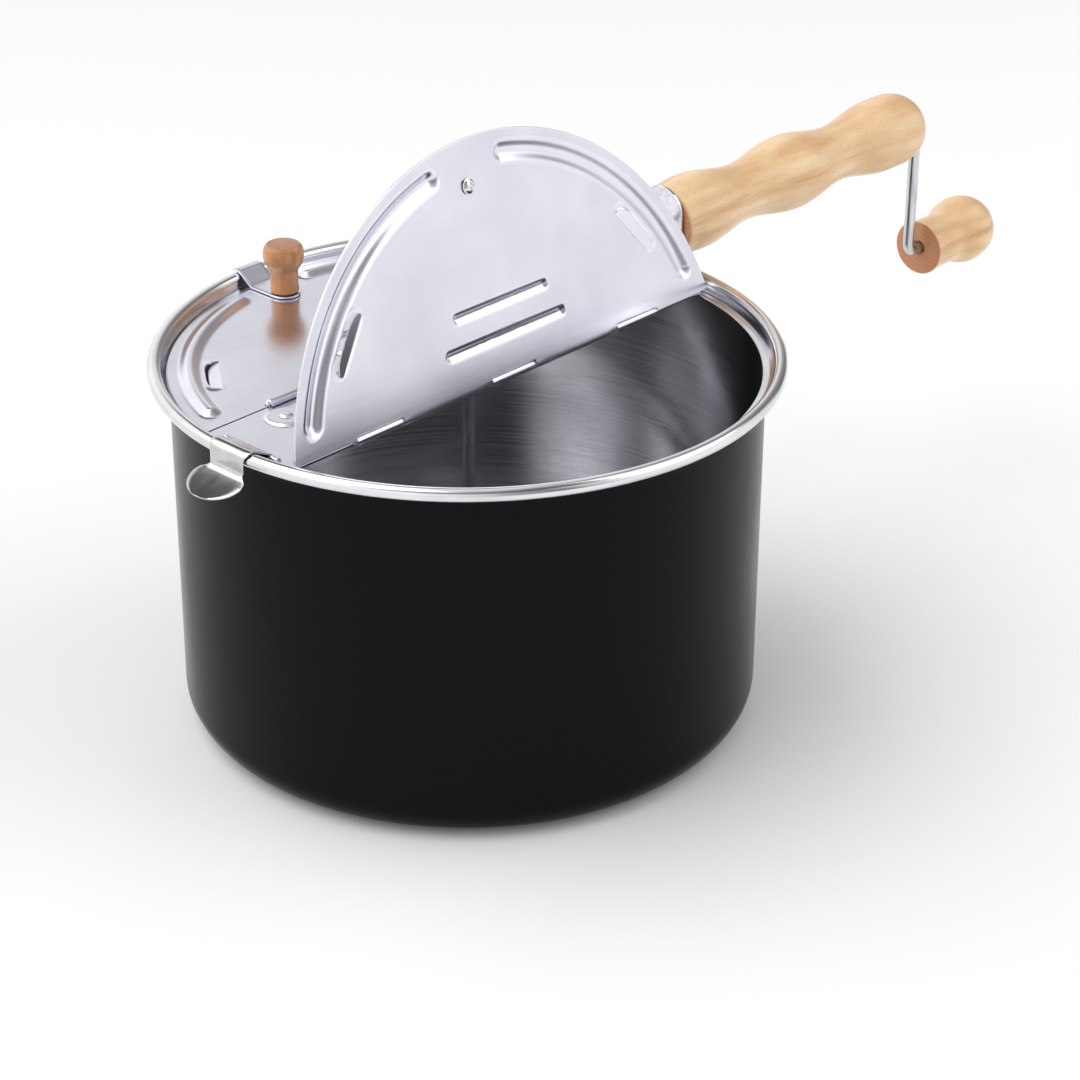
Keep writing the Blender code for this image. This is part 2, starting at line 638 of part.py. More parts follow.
def flap_mesh(hand):
    """The stamped flap, in a frame whose X axis is the hinge line; hand -1 mirrors it."""
    slot_radius = LID_RADIUS - SLOT_INSET
    slots = []
    for angle in (SLOT_ANGLE, math.pi - SLOT_ANGLE):
        centre = (slot_radius * math.cos(angle), slot_radius * math.sin(angle) - HINGE_Y)
        along = (-math.sin(angle), math.cos(angle))
        slots.append(stadium(centre, along, SLOT_LENGTH, SLOT_WIDTH))
    hole = circle((hand * KNOB_X, KNOB_Y), KNOB_SCREW_HOLE, 12)
    sheet = up_z("flap", [flap_outline(), hole, *slots], FLAP_BOTTOM, FLAP_TOP)
    spans = [(FLAP_KNUCKLE_START, FLAP_KNUCKLE_END), (-FLAP_KNUCKLE_END, -FLAP_KNUCKLE_START)]
    adds = knuckles(spans, 0.0, 0.0)
    adds += [pressed_rib("rib", path, width, FLAP_TOP) for path, width in rib_paths(hand)]
    cuts = bores(spans, 0.0, 0.0)
    cuts += [pressed_rib("rib", path, width, FLAP_BOTTOM) for path, width in rib_paths(hand)]
    return combine(sheet, adds, cuts)


def knob_profile():
    """Down the lid knob's outer side, then up its screw hole."""
    ball = (0.0, KNOB_HEIGHT - KNOB_BALL_DROP)
    top = math.asin((KNOB_BALL_DROP - 0.0007) / KNOB_BALL_RADIUS)
    bottom = -math.acos((KNOB_NECK_RADIUS + 0.0003) / KNOB_BALL_RADIUS)
    points = [(0.0, KNOB_HEIGHT), (KNOB_BALL_RADIUS * 0.8, KNOB_HEIGHT)]
    points += arc(ball, KNOB_BALL_RADIUS, top, bottom, 9)
    points.append((KNOB_NECK_RADIUS, points[-1][1] - 0.0012))
    points.append((KNOB_NECK_RADIUS, 0.0006))
    points.append((KNOB_NECK_RADIUS - 0.0006, 0.0))
    points.append((KNOB_SCREW_HOLE, 0.0))
    points.append((KNOB_SCREW_HOLE, KNOB_BORE_DEPTH))
    points.append((0.0, KNOB_BORE_DEPTH))
    return points


def knob_screw_profile():
    """The knob's screw, from its tip down to its domed head under the flap."""
    tip = KNOB_SEAT + KNOB_BORE_DEPTH - KNOB_SCREW_END_GAP
    head = FLAP_BOTTOM - REST_GAP
    bottom = head - KNOB_SCREW_HEAD_HEIGHT
    return [
        (0.0, tip),
        (KNOB_SCREW_RADIUS * 0.4, tip),
        (KNOB_SCREW_RADIUS, tip - 0.0020),
        (KNOB_SCREW_RADIUS, head),
        (KNOB_SCREW_HEAD_RADIUS, head),
        (KNOB_SCREW_HEAD_RADIUS, head - KNOB_SCREW_HEAD_HEIGHT * 0.4),
        (KNOB_SCREW_HEAD_RADIUS * 0.75, bottom + KNOB_SCREW_HEAD_HEIGHT * 0.12),
        (0.0, bottom),
    ]


def ring(name, bore, radius, thickness, steps=24):
    """A flat ring from z 0 up."""
    profile = [(bore, thickness), (radius, thickness), (radius, 0.0), (bore, 0.0)]
    return turned(name, profile, steps, closed=True)


def rim_tab():
    """The tongue under the left knob: flat on the flap, then up and over the bead."""
    middle = FLAP_TOP + REST_GAP + WASHER_THICKNESS / 2
    over = POT_HEIGHT - HINGE_Z + REST_GAP * 2 + WASHER_THICKNESS / 2
    ramp = LID_RADIUS - TAB_RAMP_INSET - HINGE_Y
    crest = BEAD_CENTRE_RADIUS - HINGE_Y
    end = RIM_OUTER_RADIUS - TAB_END_INSET - HINGE_Y
    start = KNOB_Y - TAB_HALF_WIDTH - 0.0010
    path = [
        (start, middle),
        (ramp - 0.0012, middle),
        (ramp + 0.0004, middle + 0.0007),
        (crest - 0.0024, over - 0.0009),
        (crest - 0.0008, over),
        (crest + 0.0006, over),
        (end, over - 0.0006),
    ]
    strip = bent_sheet("tab", path, WASHER_THICKNESS, TAB_HALF_WIDTH + 0.0010 - KNOB_X)
    strip.data.transform(Matrix.Rotation(math.pi / 2, 4, "Z"))
    outline = arc((KNOB_X, KNOB_Y), TAB_HALF_WIDTH, math.pi, 2 * math.pi, 15)
    outline += [(KNOB_X + TAB_HALF_WIDTH, end + 0.0010), (KNOB_X - TAB_HALF_WIDTH, end + 0.0010)]
    hole = circle((KNOB_X, KNOB_Y), KNOB_SCREW_HOLE, 12)
    shape = up_z("tab_outline", [outline, hole], middle - 0.0030, over + 0.0030)
    return combine(strip, keep=[shape])


def make_flap(side, finishes, turn, open_angle):
    """One flap with its knob, on an empty at its hinge line."""
    hand = 1 if side == "left" else -1
    hinge_y = hand * HINGE_Y
    knob_x = hand * KNOB_X
    hinge = guide(side + "_flap_hinge", (0.0, hinge_y, HINGE_Z), (open_angle, 0.0, turn))
    finished(flap_mesh(hand), side + "_flap", finishes["lid"], hinge)
    knob = place(turned("knob", knob_profile(), 28), (knob_x, KNOB_Y, KNOB_SEAT))
    finished(knob, side + "_knob", finishes["knob_wood"], hinge)
    screw = place(turned("screw", knob_screw_profile(), 16), (knob_x, KNOB_Y, 0.0))
    finished(screw, side + "_knob_screw", finishes["steel"], hinge)
    if side == "left":
        finished(rim_tab(), "left_rim_tab", finishes["lid"], hinge)
    else:
        washer = ring("washer", KNOB_SCREW_HOLE, WASHER_RADIUS, WASHER_THICKNESS)
        place(washer, (knob_x, KNOB_Y, FLAP_TOP + REST_GAP))
        finished(washer, "right_knob_washer", finishes["steel"], hinge)
    pin_length = 2 * (OUTER_KNUCKLE_END + PIN_OVERHANG)
    pin = cylinder("pin", HINGE_PIN_RADIUS, pin_length, (0.0, hinge_y, HINGE_Z), ALONG_X, 12)
    finished(pin, side + "_hinge_pin", finishes["steel"])


def outer_tangent(first, first_radius, second, second_radius):
    """The angle of the normal of the line that touches both circles on their upper side."""
    between = Vector(second) - Vector(first)
    lean = math.atan2(between.y, between.x)
    return lean + math.acos((first_radius - second_radius) / between.length)


def over_rim_path(normal, bend):
    """The clip's middle line from the bead's upper side, round it, down and out to the lobe."""
    bead = (BEAD_CENTRE_RADIUS, BEAD_CENTRE_Z)
    path = arc(bead, bend, normal, 0.0, 9)
    side_x = BEAD_CENTRE_RADIUS + bend
    foot_z = BEAD_CENTRE_Z - CLIP_LEG
    flare = CLIP_FLARE_RADIUS
    path += arc((side_x + flare, foot_z), flare, math.pi, math.pi + CLIP_FLARE_ANGLE, 6)
    tip = Vector(path[-1])
    heading = CLIP_FLARE_ANGLE - math.pi / 2
    tip += Vector((math.cos(heading), math.sin(heading))) * CLIP_LOBE_LENGTH
    path.append(tuple(tip))
    return path, tip.x, side_x


def clip_outline(start_x, tail_half_width, tail_end_x, half_width, tip_x, side_x):
    """The clip seen from above: tail, strap over the bead, neck and rounded lobe."""
    upper = [
        (start_x, tail_half_width),
        (tail_end_x, tail_half_width),
        (tail_end_x + 0.0006, half_width),
        (side_x - 0.0015, half_width),
        (side_x + 0.0006, CLIP_NECK_HALF_WIDTH),
    ]
    wide_x = side_x + CLIP_FLARE_RADIUS + 0.0012
    upper.append((wide_x - 0.0024, CLIP_LOBE_HALF_WIDTH * 0.93))
    reach = tip_x - wide_x
    for turn in range(90, -1, -10):
        angle = math.radians(turn)
        upper.append(
            (wide_x + reach * math.cos(angle), CLIP_LOBE_HALF_WIDTH * math.sin(angle))
        )
    lower = [(x, -y) for x, y in upper[-2::-1]]
    return upper + lower


def make_near_clip(finishes):
    """The clip that turns on a pin in the bridge's lugs."""
    pin_place = (CLIP_PIN_X, CLIP_PIN_Z)
    curl = CLIP_BORE + NEAR_CLIP_THICKNESS / 2
    bend = BEAD_RADIUS + CLIP_RIM_GAP + NEAR_CLIP_THICKNESS / 2
    normal = outer_tangent(pin_place, curl, (BEAD_CENTRE_RADIUS, BEAD_CENTRE_Z), bend)
    path = arc(pin_place, curl, normal + CLIP_CURL_WRAP, normal, 15)
    rim_path, tip_x, side_x = over_rim_path(normal, bend)
    path += rim_path
    strap = bent_sheet("near", path, NEAR_CLIP_THICKNESS, CLIP_LOBE_HALF_WIDTH + 0.0010)
    start_x = CLIP_PIN_X - CLIP_CURL_RADIUS - 0.0010
    half_width = NEAR_CLIP_HALF_WIDTH
    outline = clip_outline(start_x, half_width, CLIP_PIN_X, half_width, tip_x, side_x)
    shape = up_z("near_outline", [outline], LEDGE_Z - 0.0300, POT_HEIGHT + 0.0100)
    clip = combine(strap, keep=[shape])
    clip.data.transform(Matrix.Translation((-CLIP_PIN_X, 0.0, -CLIP_PIN_Z)))
    hinge = guide("near_clip_hinge", (-CLIP_PIN_X, 0.0, CLIP_PIN_Z), (0.0, 0.0, math.pi))
    finished(clip, "near_clip", finishes["clip"], hinge)
    pin_length = 2 * (LUG_INNER_Y + LUG_WIDTH + REST_GAP)
    pin_middle = (-CLIP_PIN_X, 0.0, CLIP_PIN_Z)
    pin = cylinder("pin", CLIP_PIN_RADIUS, pin_length, pin_middle, ALONG_Y, 12)
    finished(pin, "near_clip_pin", finishes["steel"])


def make_far_clip(finishes):
    """The fixed hook under the handle, riveted to the bridge by its tail."""
    tail_z = SHEET_ON_BRIDGE_Z + CLIP_THICKNESS / 2
    bend = BEAD_RADIUS + CLIP_RIM_GAP + CLIP_THICKNESS / 2
    tail_end = (FAR_TAIL_END_X, tail_z)
    normal = outer_tangent(tail_end, 0.0, (BEAD_CENTRE_RADIUS, BEAD_CENTRE_Z), bend)
    rim_path, tip_x, side_x = over_rim_path(normal, bend)
    path = [(FAR_TAIL_START_X, tail_z), (FAR_TAIL_END_X - 0.0008, tail_z), *rim_path]
    strap = bent_sheet("far", path, CLIP_THICKNESS, CLIP_LOBE_HALF_WIDTH + 0.0010)
    start_x = FAR_TAIL_START_X - 0.0010
    half_width = CLIP_HALF_WIDTH
    tail = FAR_TAIL_HALF_WIDTH
    outline = clip_outline(start_x, tail, FAR_TAIL_END_X, half_width, tip_x, side_x)
    shape = up_z("far_outline", [outline], LEDGE_Z - 0.0300, POT_HEIGHT + 0.0100)
    holes = [drill((x, 0.0), BRIDGE_RIVET_HOLE, 12) for x in FAR_RIVET_XS]
    finished(combine(combine(strap, keep=[shape]), cuts=holes), "far_clip", finishes["clip"])
    for name, x in zip(("inner", "outer"), FAR_RIVET_XS):
        make_rivet("far_clip_rivet_" + name, (x, 0.0), CLIP_THICKNESS, finishes)


def make_rivet(name, centre, sheet_thickness, finishes):
    """A rivet through one sheet on the bridge, headed above and below."""
    top = BRIDGE_THICKNESS + REST_GAP + sheet_thickness + REST_GAP
    bottom = -REST_GAP
    foot = RIVET_HEAD_RADIUS * 0.92
    profile = [
        (0.0, top + RIVET_HEAD_HEIGHT),
        (RIVET_HEAD_RADIUS * 0.62, top + RIVET_HEAD_HEIGHT * 0.82),
        (RIVET_HEAD_RADIUS * 0.92, top + RIVET_HEAD_HEIGHT * 0.42),
        (RIVET_HEAD_RADIUS, top),
        (RIVET_RADIUS, top),
        (RIVET_RADIUS, bottom),
        (foot, bottom),
        (foot * 0.8, bottom - RIVET_FOOT_HEIGHT),
        (0.0, bottom - RIVET_FOOT_HEIGHT),
    ]
    rivet = place(turned(name, profile, 14), (*centre, LID_BOTTOM_Z))
    finished(rivet, name, finishes["steel"])


def bracket_outline():
    """The handle bracket seen along X: round top, waist, two legs, with a window for the clip."""
    foot = BRACKET_FOOT_HALF_WIDTH
    window = BRACKET_WINDOW_HALF_WIDTH
    sill = SHEET_ON_BRIDGE_Z + BRACKET_WINDOW_HEIGHT
    bottom = SHEET_ON_BRIDGE_Z - 0.0010
    top = arc((0.0, HANDLE_Z + BRACKET_TOP_RISE), BRACKET_TOP_RADIUS, 0.0, math.pi, 17)
    right = [(foot, bottom), (foot, sill + 0.0010), (BRACKET_TOP_RADIUS, sill + 0.0035)]
    left = [(-x, y) for x, y in right[::-1]]
    notch = [(-window, bottom), (-window, sill), (window, sill), (window, bottom)]
    return right + top + left + notch


def bent_corner(corner, start, end):
    """A bend's middle line."""
    return arc(corner, BRACKET_BEND_RADIUS + BRACKET_THICKNESS / 2, start, end, 5)


def make_handle_bracket(finishes):
    middle_z = SHEET_ON_BRIDGE_Z + BRACKET_THICKNESS / 2
    upright_x = BRACKET_FACE_X - BRACKET_THICKNESS / 2
    bend = BRACKET_BEND_RADIUS + BRACKET_THICKNESS / 2
    quarter = math.pi / 2
    path = [(BRACKET_FACE_X - BRACKET_FOOT_LENGTH, middle_z)]
    path += bent_corner((upright_x - bend, middle_z + bend), -quarter, 0.0)
    path.append((upright_x, HANDLE_Z + BRACKET_TOP_RISE + BRACKET_TOP_RADIUS + 0.0010))
    sheet = bent_sheet("bracket", path, BRACKET_THICKNESS, BRACKET_FOOT_HALF_WIDTH + 0.0010)
    holes = [circle((0.0, HANDLE_Z), ROD_BORE + 0.0004, 20)]
    for side in (-1, 1):
        hole_centre = (side * HANDLE_SCREW_OFFSET, HANDLE_Z - HANDLE_SCREW_DROP)
        holes.append(circle(hole_centre, HANDLE_SCREW_RADIUS + REST_GAP, 12))
    low_x = BRACKET_FACE_X - BRACKET_FOOT_LENGTH - 0.0010
    shape = across_x("bracket_outline", [bracket_outline(), *holes], low_x, BRACKET_FACE_X + 0.001)
    rivets = [(BRACKET_RIVET_X, side * BRACKET_RIVET_Y) for side in (-1, 1)]
    cuts = [drill(centre, BRIDGE_RIVET_HOLE, 12) for centre in rivets]
    bracket = combine(combine(sheet, keep=[shape]), cuts=cuts)
    finished(bracket, "handle_bracket", finishes["steel"])
    for name, side in (("left", 1), ("right", -1)):
        centre = (BRACKET_RIVET_X, side * BRACKET_RIVET_Y)
        make_rivet("bracket_rivet_" + name, centre, BRACKET_THICKNESS, finishes)
        make_handle_screw(name, side, finishes)


def make_handle_screw(name, side, finishes):
    """A round-head screw through the bracket into the grip."""
    head = HANDLE_SCREW_HEAD_RADIUS
    seat = -BRACKET_THICKNESS - REST_GAP * 2
    profile = [
        (0.0, HANDLE_SCREW_LENGTH),
        (HANDLE_SCREW_RADIUS * 0.4, HANDLE_SCREW_LENGTH),
        (HANDLE_SCREW_RADIUS, HANDLE_SCREW_LENGTH - 0.0025),
        (HANDLE_SCREW_RADIUS, seat),
        (head, seat),
        (head * 0.9, seat - HANDLE_SCREW_HEAD_HEIGHT * 0.55),
        (head * 0.5, seat - HANDLE_SCREW_HEAD_HEIGHT * 0.95),
        (0.0, seat - HANDLE_SCREW_HEAD_HEIGHT),
    ]
    screw = turned(name, profile, 16)
    screw_z = HANDLE_Z - HANDLE_SCREW_DROP
    place(screw, (HANDLE_START_X, side * HANDLE_SCREW_OFFSET, screw_z), ALONG_X)
    finished(screw, "handle_screw_" + name, finishes["steel"])


def handle_radius(x):
    """The grip's radius at a distance from its bracket end: a wave that rounds off at the end."""
    last_crest = HANDLE_FIRST_CREST + 2 * HANDLE_WAVE_PITCH
    waving = min(max(x, HANDLE_START_HOLD), last_crest)
    turn = 2 * math.pi * (waving - HANDLE_FIRST_CREST) / HANDLE_WAVE_PITCH
    radius = HANDLE_MEAN_RADIUS + HANDLE_WAVE * math.cos(turn)
    past = max(0.0, (x - HANDLE_LENGTH + HANDLE_END_ROUND) / HANDLE_END_ROUND)
    rounding = math.sqrt(max(0.0, 1 - past**2))
    return HANDLE_END_RADIUS + (radius - HANDLE_END_RADIUS) * rounding


def make_handle(finishes):
    straight = HANDLE_LENGTH - HANDLE_END_ROUND
    count = 22
    stations = [HANDLE_CHAMFER + (straight - HANDLE_CHAMFER) * i / count for i in range(count + 1)]
    stations += [straight + HANDLE_END_ROUND * s for s in (0.35, 0.62, 0.82, 0.94, 1.0)]
    outer = [(handle_radius(x), x) for x in reversed(stations)]
    near_edge = [(handle_radius(0.0) - HANDLE_CHAMFER, 0.0)]
    bore = [(ROD_BORE, 0.0), (ROD_BORE, HANDLE_LENGTH)]
    grip = turned("grip", outer + near_edge + bore, 36, closed=True)
    place(grip, (HANDLE_START_X, 0.0, HANDLE_Z), ALONG_X)
    depth = HANDLE_SCREW_LENGTH + REST_GAP * 3
    cuts = []
    for side in (-1, 1):
        middle_x = HANDLE_START_X + depth / 2 - 0.0005
        middle = (middle_x, side * HANDLE_SCREW_OFFSET, HANDLE_Z - HANDLE_SCREW_DROP)
        hole = HANDLE_SCREW_RADIUS + REST_GAP
        cuts.append(cylinder("pilot", hole, depth + 0.0010, middle, ALONG_X, 12))
    finished(combine(grip, cuts=cuts), "handle_grip", finishes["wood"])


def crank_knob_radius(x):
    """The crank knob's radius from its face: a waist that flares to the face, and an oval ball."""
    half = CRANK_KNOB_BALL_LENGTH / 2
    ball_x = CRANK_KNOB_LENGTH - half
    ball = CRANK_KNOB_RADIUS * math.sqrt(max(0.0, 1 - ((x - ball_x) / half) ** 2))
    flare = CRANK_KNOB_FACE_RADIUS - CRANK_KNOB_NECK_RADIUS
    neck = CRANK_KNOB_NECK_RADIUS + flare * math.exp(-x / CRANK_KNOB_NECK_FADE)
    neck *= min(1.0, max(0.0, (ball_x - x) / (0.4 * ball_x)))
    return (neck**8 + ball**8) ** 0.125


def make_crank(finishes):
    spin = guide("crank_axis", (0.0, 0.0, HANDLE_Z))
    bend = CRANK_BEND_RADIUS
    inner_end = INNER_EAR_X - GEAR_BRACKET_THICKNESS - ROD_END_OVERHANG
    path = [(inner_end, 0.0)]
    path += arc((CRANK_ARM_X - bend, -bend), bend, math.pi / 2, 0.0, 6)
    low_bend = (CRANK_ARM_X + bend, bend - CRANK_THROW)
    path += arc(low_bend, bend, math.pi, 1.5 * math.pi, 6)
    path.append((CRANK_KNOB_X + CRANK_KNOB_BORE_DEPTH - 0.0010, -CRANK_THROW))
    rod = wire("rod", [(x, 0.0, z) for x, z in path], ROD_RADIUS)
    finished(rod, "crank_rod", finishes["rod"], spin)
    keeper = ring("keeper", ROD_RADIUS + RUNNING_GAP, RING_RADIUS, RING_THICKNESS, 20)
    place(keeper, (INNER_EAR_X + REST_GAP, 0.0, 0.0), ALONG_X)
    finished(keeper, "crank_retaining_ring", finishes["steel"], spin)
    drive = place(bevel_gear("drive_gear", 0.0, DRIVE_HUB_LENGTH), (0.0, 0.0, 0.0), ALONG_X)
    finished(drive, "drive_gear", finishes["gear"], spin)

    count = 16
    stations = [CRANK_KNOB_LENGTH * (1 - (i / count) ** 1.6) for i in range(1, count)]
    profile = [(0.0, CRANK_KNOB_LENGTH)]
    profile += [(crank_knob_radius(x), x) for x in stations]
    profile.append((CRANK_KNOB_FACE_RADIUS - 0.0005, 0.0))
    profile.append((CRANK_KNOB_RECESS_RADIUS, 0.0))
    profile.append((CRANK_KNOB_RECESS_RADIUS, CRANK_KNOB_RECESS_DEPTH))
    profile.append((ROD_BORE, CRANK_KNOB_RECESS_DEPTH))
    profile.append((ROD_BORE, CRANK_KNOB_BORE_DEPTH))
    profile.append((0.0, CRANK_KNOB_BORE_DEPTH))
    knob_axis = guide("crank_knob_axis", (CRANK_KNOB_X, 0.0, -CRANK_THROW), parent=spin)
    knob = place(turned("crank_knob", profile, 32), (0.0, 0.0, 0.0), ALONG_X)
    finished(knob, "crank_knob", finishes["wood"], knob_axis)


def gear_outline(scale, first_tooth):
    """One ring of a bevel gear's teeth at a share of its large end's size."""
    pitch = 2 * math.pi / GEAR_TEETH
    half = GEAR_PITCH_RADIUS * pitch * GEAR_TOOTH_SHARE / 2
    slope = math.tan(GEAR_PRESSURE_ANGLE)
    tip = (half - (GEAR_TIP_RADIUS - GEAR_PITCH_RADIUS) * slope) / GEAR_TIP_RADIUS
    root = (half + (GEAR_PITCH_RADIUS - GEAR_ROOT_RADIUS) * slope) / GEAR_ROOT_RADIUS
    points = []
    for tooth in range(GEAR_TEETH):
        middle = first_tooth + tooth * pitch
        for turn, radius in (
            (-root, GEAR_ROOT_RADIUS),
            (-tip, GEAR_TIP_RADIUS),
            (tip, GEAR_TIP_RADIUS),
            (root, GEAR_ROOT_RADIUS),
        ):
            angle = middle + turn
            points.append((scale * radius * math.cos(angle), scale * radius * math.sin(angle)))
    return points


def bevel_gear(name, first_tooth, hub_length):
    """A bevel gear whose cone's point is its origin and whose hub points along +Z."""
    small = 1 - GEAR_FACE_LENGTH / GEAR_PITCH_RADIUS
    bm = bmesh.new()
    rings = []
    for share in (small, 1.0):
        ring_points = gear_outline(share, first_tooth)
        height = GEAR_PITCH_RADIUS * share
        rings.append([bm.verts.new((x, y, height)) for x, y in ring_points])
    count = len(rings[0])
    for i in range(count):
        after = (i + 1) % count
        bm.faces.new((rings[0][i], rings[0][after], rings[1][after], rings[1][i]))
    bm.faces.new(rings[0][::-1])
    bm.faces.new(rings[1])
    teeth = from_bmesh(name, bm)
    hub_middle = (0.0, 0.0, GEAR_PITCH_RADIUS + hub_length / 2 - 0.0005)
    hub = cylinder("hub", GEAR_HUB_RADIUS, hub_length + 0.0010, hub_middle, segments=24)
    bore_length = 4 * GEAR_PITCH_RADIUS
    bore = cylinder("bore", ROD_RADIUS + RUNNING_GAP, bore_length, hub_middle, segments=20)
    return combine(teeth, adds=[hub], cuts=[bore])


def make_gear_bracket(finishes):
    """A U of sheet on the bridge, whose two ears carry the crank rod."""
    half = GEAR_BRACKET_THICKNESS / 2
    bend = BRACKET_BEND_RADIUS + half
    low = SHEET_ON_BRIDGE_Z + half
    inner_x = INNER_EAR_X - half
    outer_x = OUTER_EAR_X + half
    high = HANDLE_Z + GEAR_BRACKET_HALF_WIDTH + 0.0010
    quarter = math.pi / 2
    path = [(inner_x, high)]
    path += arc((inner_x + bend, low + bend), bend, math.pi, 3 * quarter, 5)
    path += arc((outer_x - bend, low + bend), bend, -quarter, 0.0, 5)
    path.append((outer_x, high))
    sheet = bent_sheet("gear_bracket", path, GEAR_BRACKET_THICKNESS, GEAR_BRACKET_HALF_WIDTH)
    side = GEAR_BRACKET_HALF_WIDTH
    top = arc((0.0, HANDLE_Z), side, 0.0, math.pi, 13)
    bottom = SHEET_ON_BRIDGE_Z - 0.0010
    outline = [(side, bottom), *top, (-side, bottom)]
    hole = circle((0.0, HANDLE_Z), ROD_BORE, 20)
    shape = across_x("ears", [outline, hole], inner_x - 0.0020, outer_x + 0.0020)
    cuts = [drill((x, 0.0), BRIDGE_RIVET_HOLE, 12) for x in GEAR_RIVET_XS]
    cuts.append(drill((0.0, 0.0), BUSH_HOLE, 24))
    bracket = combine(combine(sheet, keep=[shape]), cuts=cuts)
    finished(bracket, "gear_bracket", finishes["steel"])
    for name, x in zip(("back", "front"), GEAR_RIVET_XS):
        make_rivet("gear_bracket_rivet_" + name, (x, 0.0), GEAR_BRACKET_THICKNESS, finishes)


def make_bushing(finishes):
    """The flanged bush that the stirrer shaft turns in."""
    top = BUSH_FLANGE_Z + BUSH_FLANGE_THICKNESS
    bottom = LID_BOTTOM_Z - BUSH_DROP
    profile = [
        (BUSH_BORE, top),
        (BUSH_FLANGE_RADIUS, top),
        (BUSH_FLANGE_RADIUS, BUSH_FLANGE_Z),
        (BUSH_RADIUS, BUSH_FLANGE_Z),
        (BUSH_RADIUS, bottom),
        (BUSH_BORE, bottom),
    ]
    finished(turned("bush", profile, 28, closed=True), "shaft_bushing", finishes["bush"])


def hairpin():
    """The stirrer wire's middle line: across the shaft, with a turn back at each end."""
    turn = WIRE_TURN_RADIUS
    reach = WIRE_REACH - turn - WIRE_RADIUS
    far = arc((reach, turn), turn, -math.pi / 2, math.pi / 2, 9)
    far.append((reach - WIRE_RETURN, 2 * turn))
    near = [(-x, -y) for x, y in reversed(far)]
    return near + far


def make_stirrer(finishes):
    spin = guide("stirrer_axis", (0.0, 0.0, 0.0))
    top = HANDLE_Z - ROD_RADIUS - SHAFT_TOP_ROOM
    bottom = WIRE_Z - SHAFT_FOOT
    middle = (0.0, 0.0, (top + bottom) / 2)
    shaft = cylinder("shaft", SHAFT_RADIUS, top - bottom, middle, segments=16)
    across = (0.0, math.pi / 2, STIRRER_ANGLE)
    hole = cylinder("hole", WIRE_RADIUS + RUNNING_GAP, 0.0200, (0.0, 0.0, WIRE_Z), across, 12)
    finished(combine(shaft, cuts=[hole]), "stirrer_shaft", finishes["rod"], spin)
    arms = wire("arms", [(x, y, 0.0) for x, y in hairpin()], WIRE_RADIUS, 10)
    place(arms, (0.0, 0.0, WIRE_Z), (0.0, 0.0, STIRRER_ANGLE))
    finished(arms, "stirrer_wire", finishes["rod"], spin)
    gear = bevel_gear("stirrer_gear", math.pi / GEAR_TEETH, STIRRER_HUB_LENGTH)
    place(gear, (0.0, 0.0, HANDLE_Z), (math.pi, 0.0, 0.0))
    finished(gear, "stirrer_gear", finishes["gear"], spin)
    keeper = ring("keeper", SHAFT_RADIUS + RUNNING_GAP, RING_RADIUS, RING_THICKNESS, 20)
    keeper_z = LID_BOTTOM_Z - BUSH_DROP - REST_GAP - RING_THICKNESS
    place(keeper, (0.0, 0.0, keeper_z))
    finished(keeper, "shaft_retaining_ring", finishes["steel"], spin)


def gather(name):
    """Moves every piece and empty into a collection named for the object."""
    group = bpy.data.collections.new(name)
    bpy.context.scene.collection.children.link(group)
    for thing in list(bpy.context.scene.collection.objects):
        group.objects.link(thing)
        bpy.context.scene.collection.objects.unlink(thing)


def main():
    for thing in list(bpy.data.objects):
        bpy.data.objects.remove(thing)
    finishes = {
        "enamel": finish("black enamel", "#1C1C1E", 0.0, 0.25),
        "lid": finish("stamped aluminium", "#D8D8E4", 1.0, 0.35),
        "clip": finish("polished stainless", "#D0D0D4", 1.0, 0.15),
        "steel": finish("zinc plated steel", "#C8C9CC", 1.0, 0.25),
        "rod": finish("bright steel rod", "#CFD0D3", 1.0, 0.2),
        "gear": finish("white nylon", "#E6E4DC", 0.0, 0.4),
        "bush": finish("sintered bronze", "#B08A55", 1.0, 0.4),
        "wood": finish("lacquered beech", "#E3BD8F", 0.0, 0.35),
        "knob_wood": finish("turned beech", "#C99566", 0.0, 0.4),
    }
    make_pot(finishes)
    make_bridge(finishes)
    make_flap("left", finishes, 0.0, 0.0)
    make_flap("right", finishes, math.pi, RIGHT_FLAP_OPEN_ANGLE)
    make_near_clip(finishes)
    make_far_clip(finishes)
    make_handle_bracket(finishes)
    make_handle(finishes)
    make_gear_bracket(finishes)
    make_bushing(finishes)
    make_crank(finishes)
    make_stirrer(finishes)
    gather("popcorn_popper")


main()
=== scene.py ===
import math

import bmesh
import bpy
import numpy as np
from mathutils import Matrix, Vector


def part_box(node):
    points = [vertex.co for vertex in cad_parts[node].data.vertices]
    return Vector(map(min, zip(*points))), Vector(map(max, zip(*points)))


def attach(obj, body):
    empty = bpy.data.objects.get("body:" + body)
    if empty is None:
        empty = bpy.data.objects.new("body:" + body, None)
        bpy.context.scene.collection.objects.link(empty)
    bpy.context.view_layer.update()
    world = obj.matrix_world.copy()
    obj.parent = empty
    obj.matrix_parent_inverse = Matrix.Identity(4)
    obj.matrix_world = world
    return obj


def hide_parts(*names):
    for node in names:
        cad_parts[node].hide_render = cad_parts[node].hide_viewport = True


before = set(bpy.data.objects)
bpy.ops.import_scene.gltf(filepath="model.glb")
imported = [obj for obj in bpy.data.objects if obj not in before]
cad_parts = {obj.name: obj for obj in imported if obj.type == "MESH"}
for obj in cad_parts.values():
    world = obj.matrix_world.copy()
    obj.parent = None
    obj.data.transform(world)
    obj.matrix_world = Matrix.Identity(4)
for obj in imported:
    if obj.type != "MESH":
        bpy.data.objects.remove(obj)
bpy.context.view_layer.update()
mm = 0.001

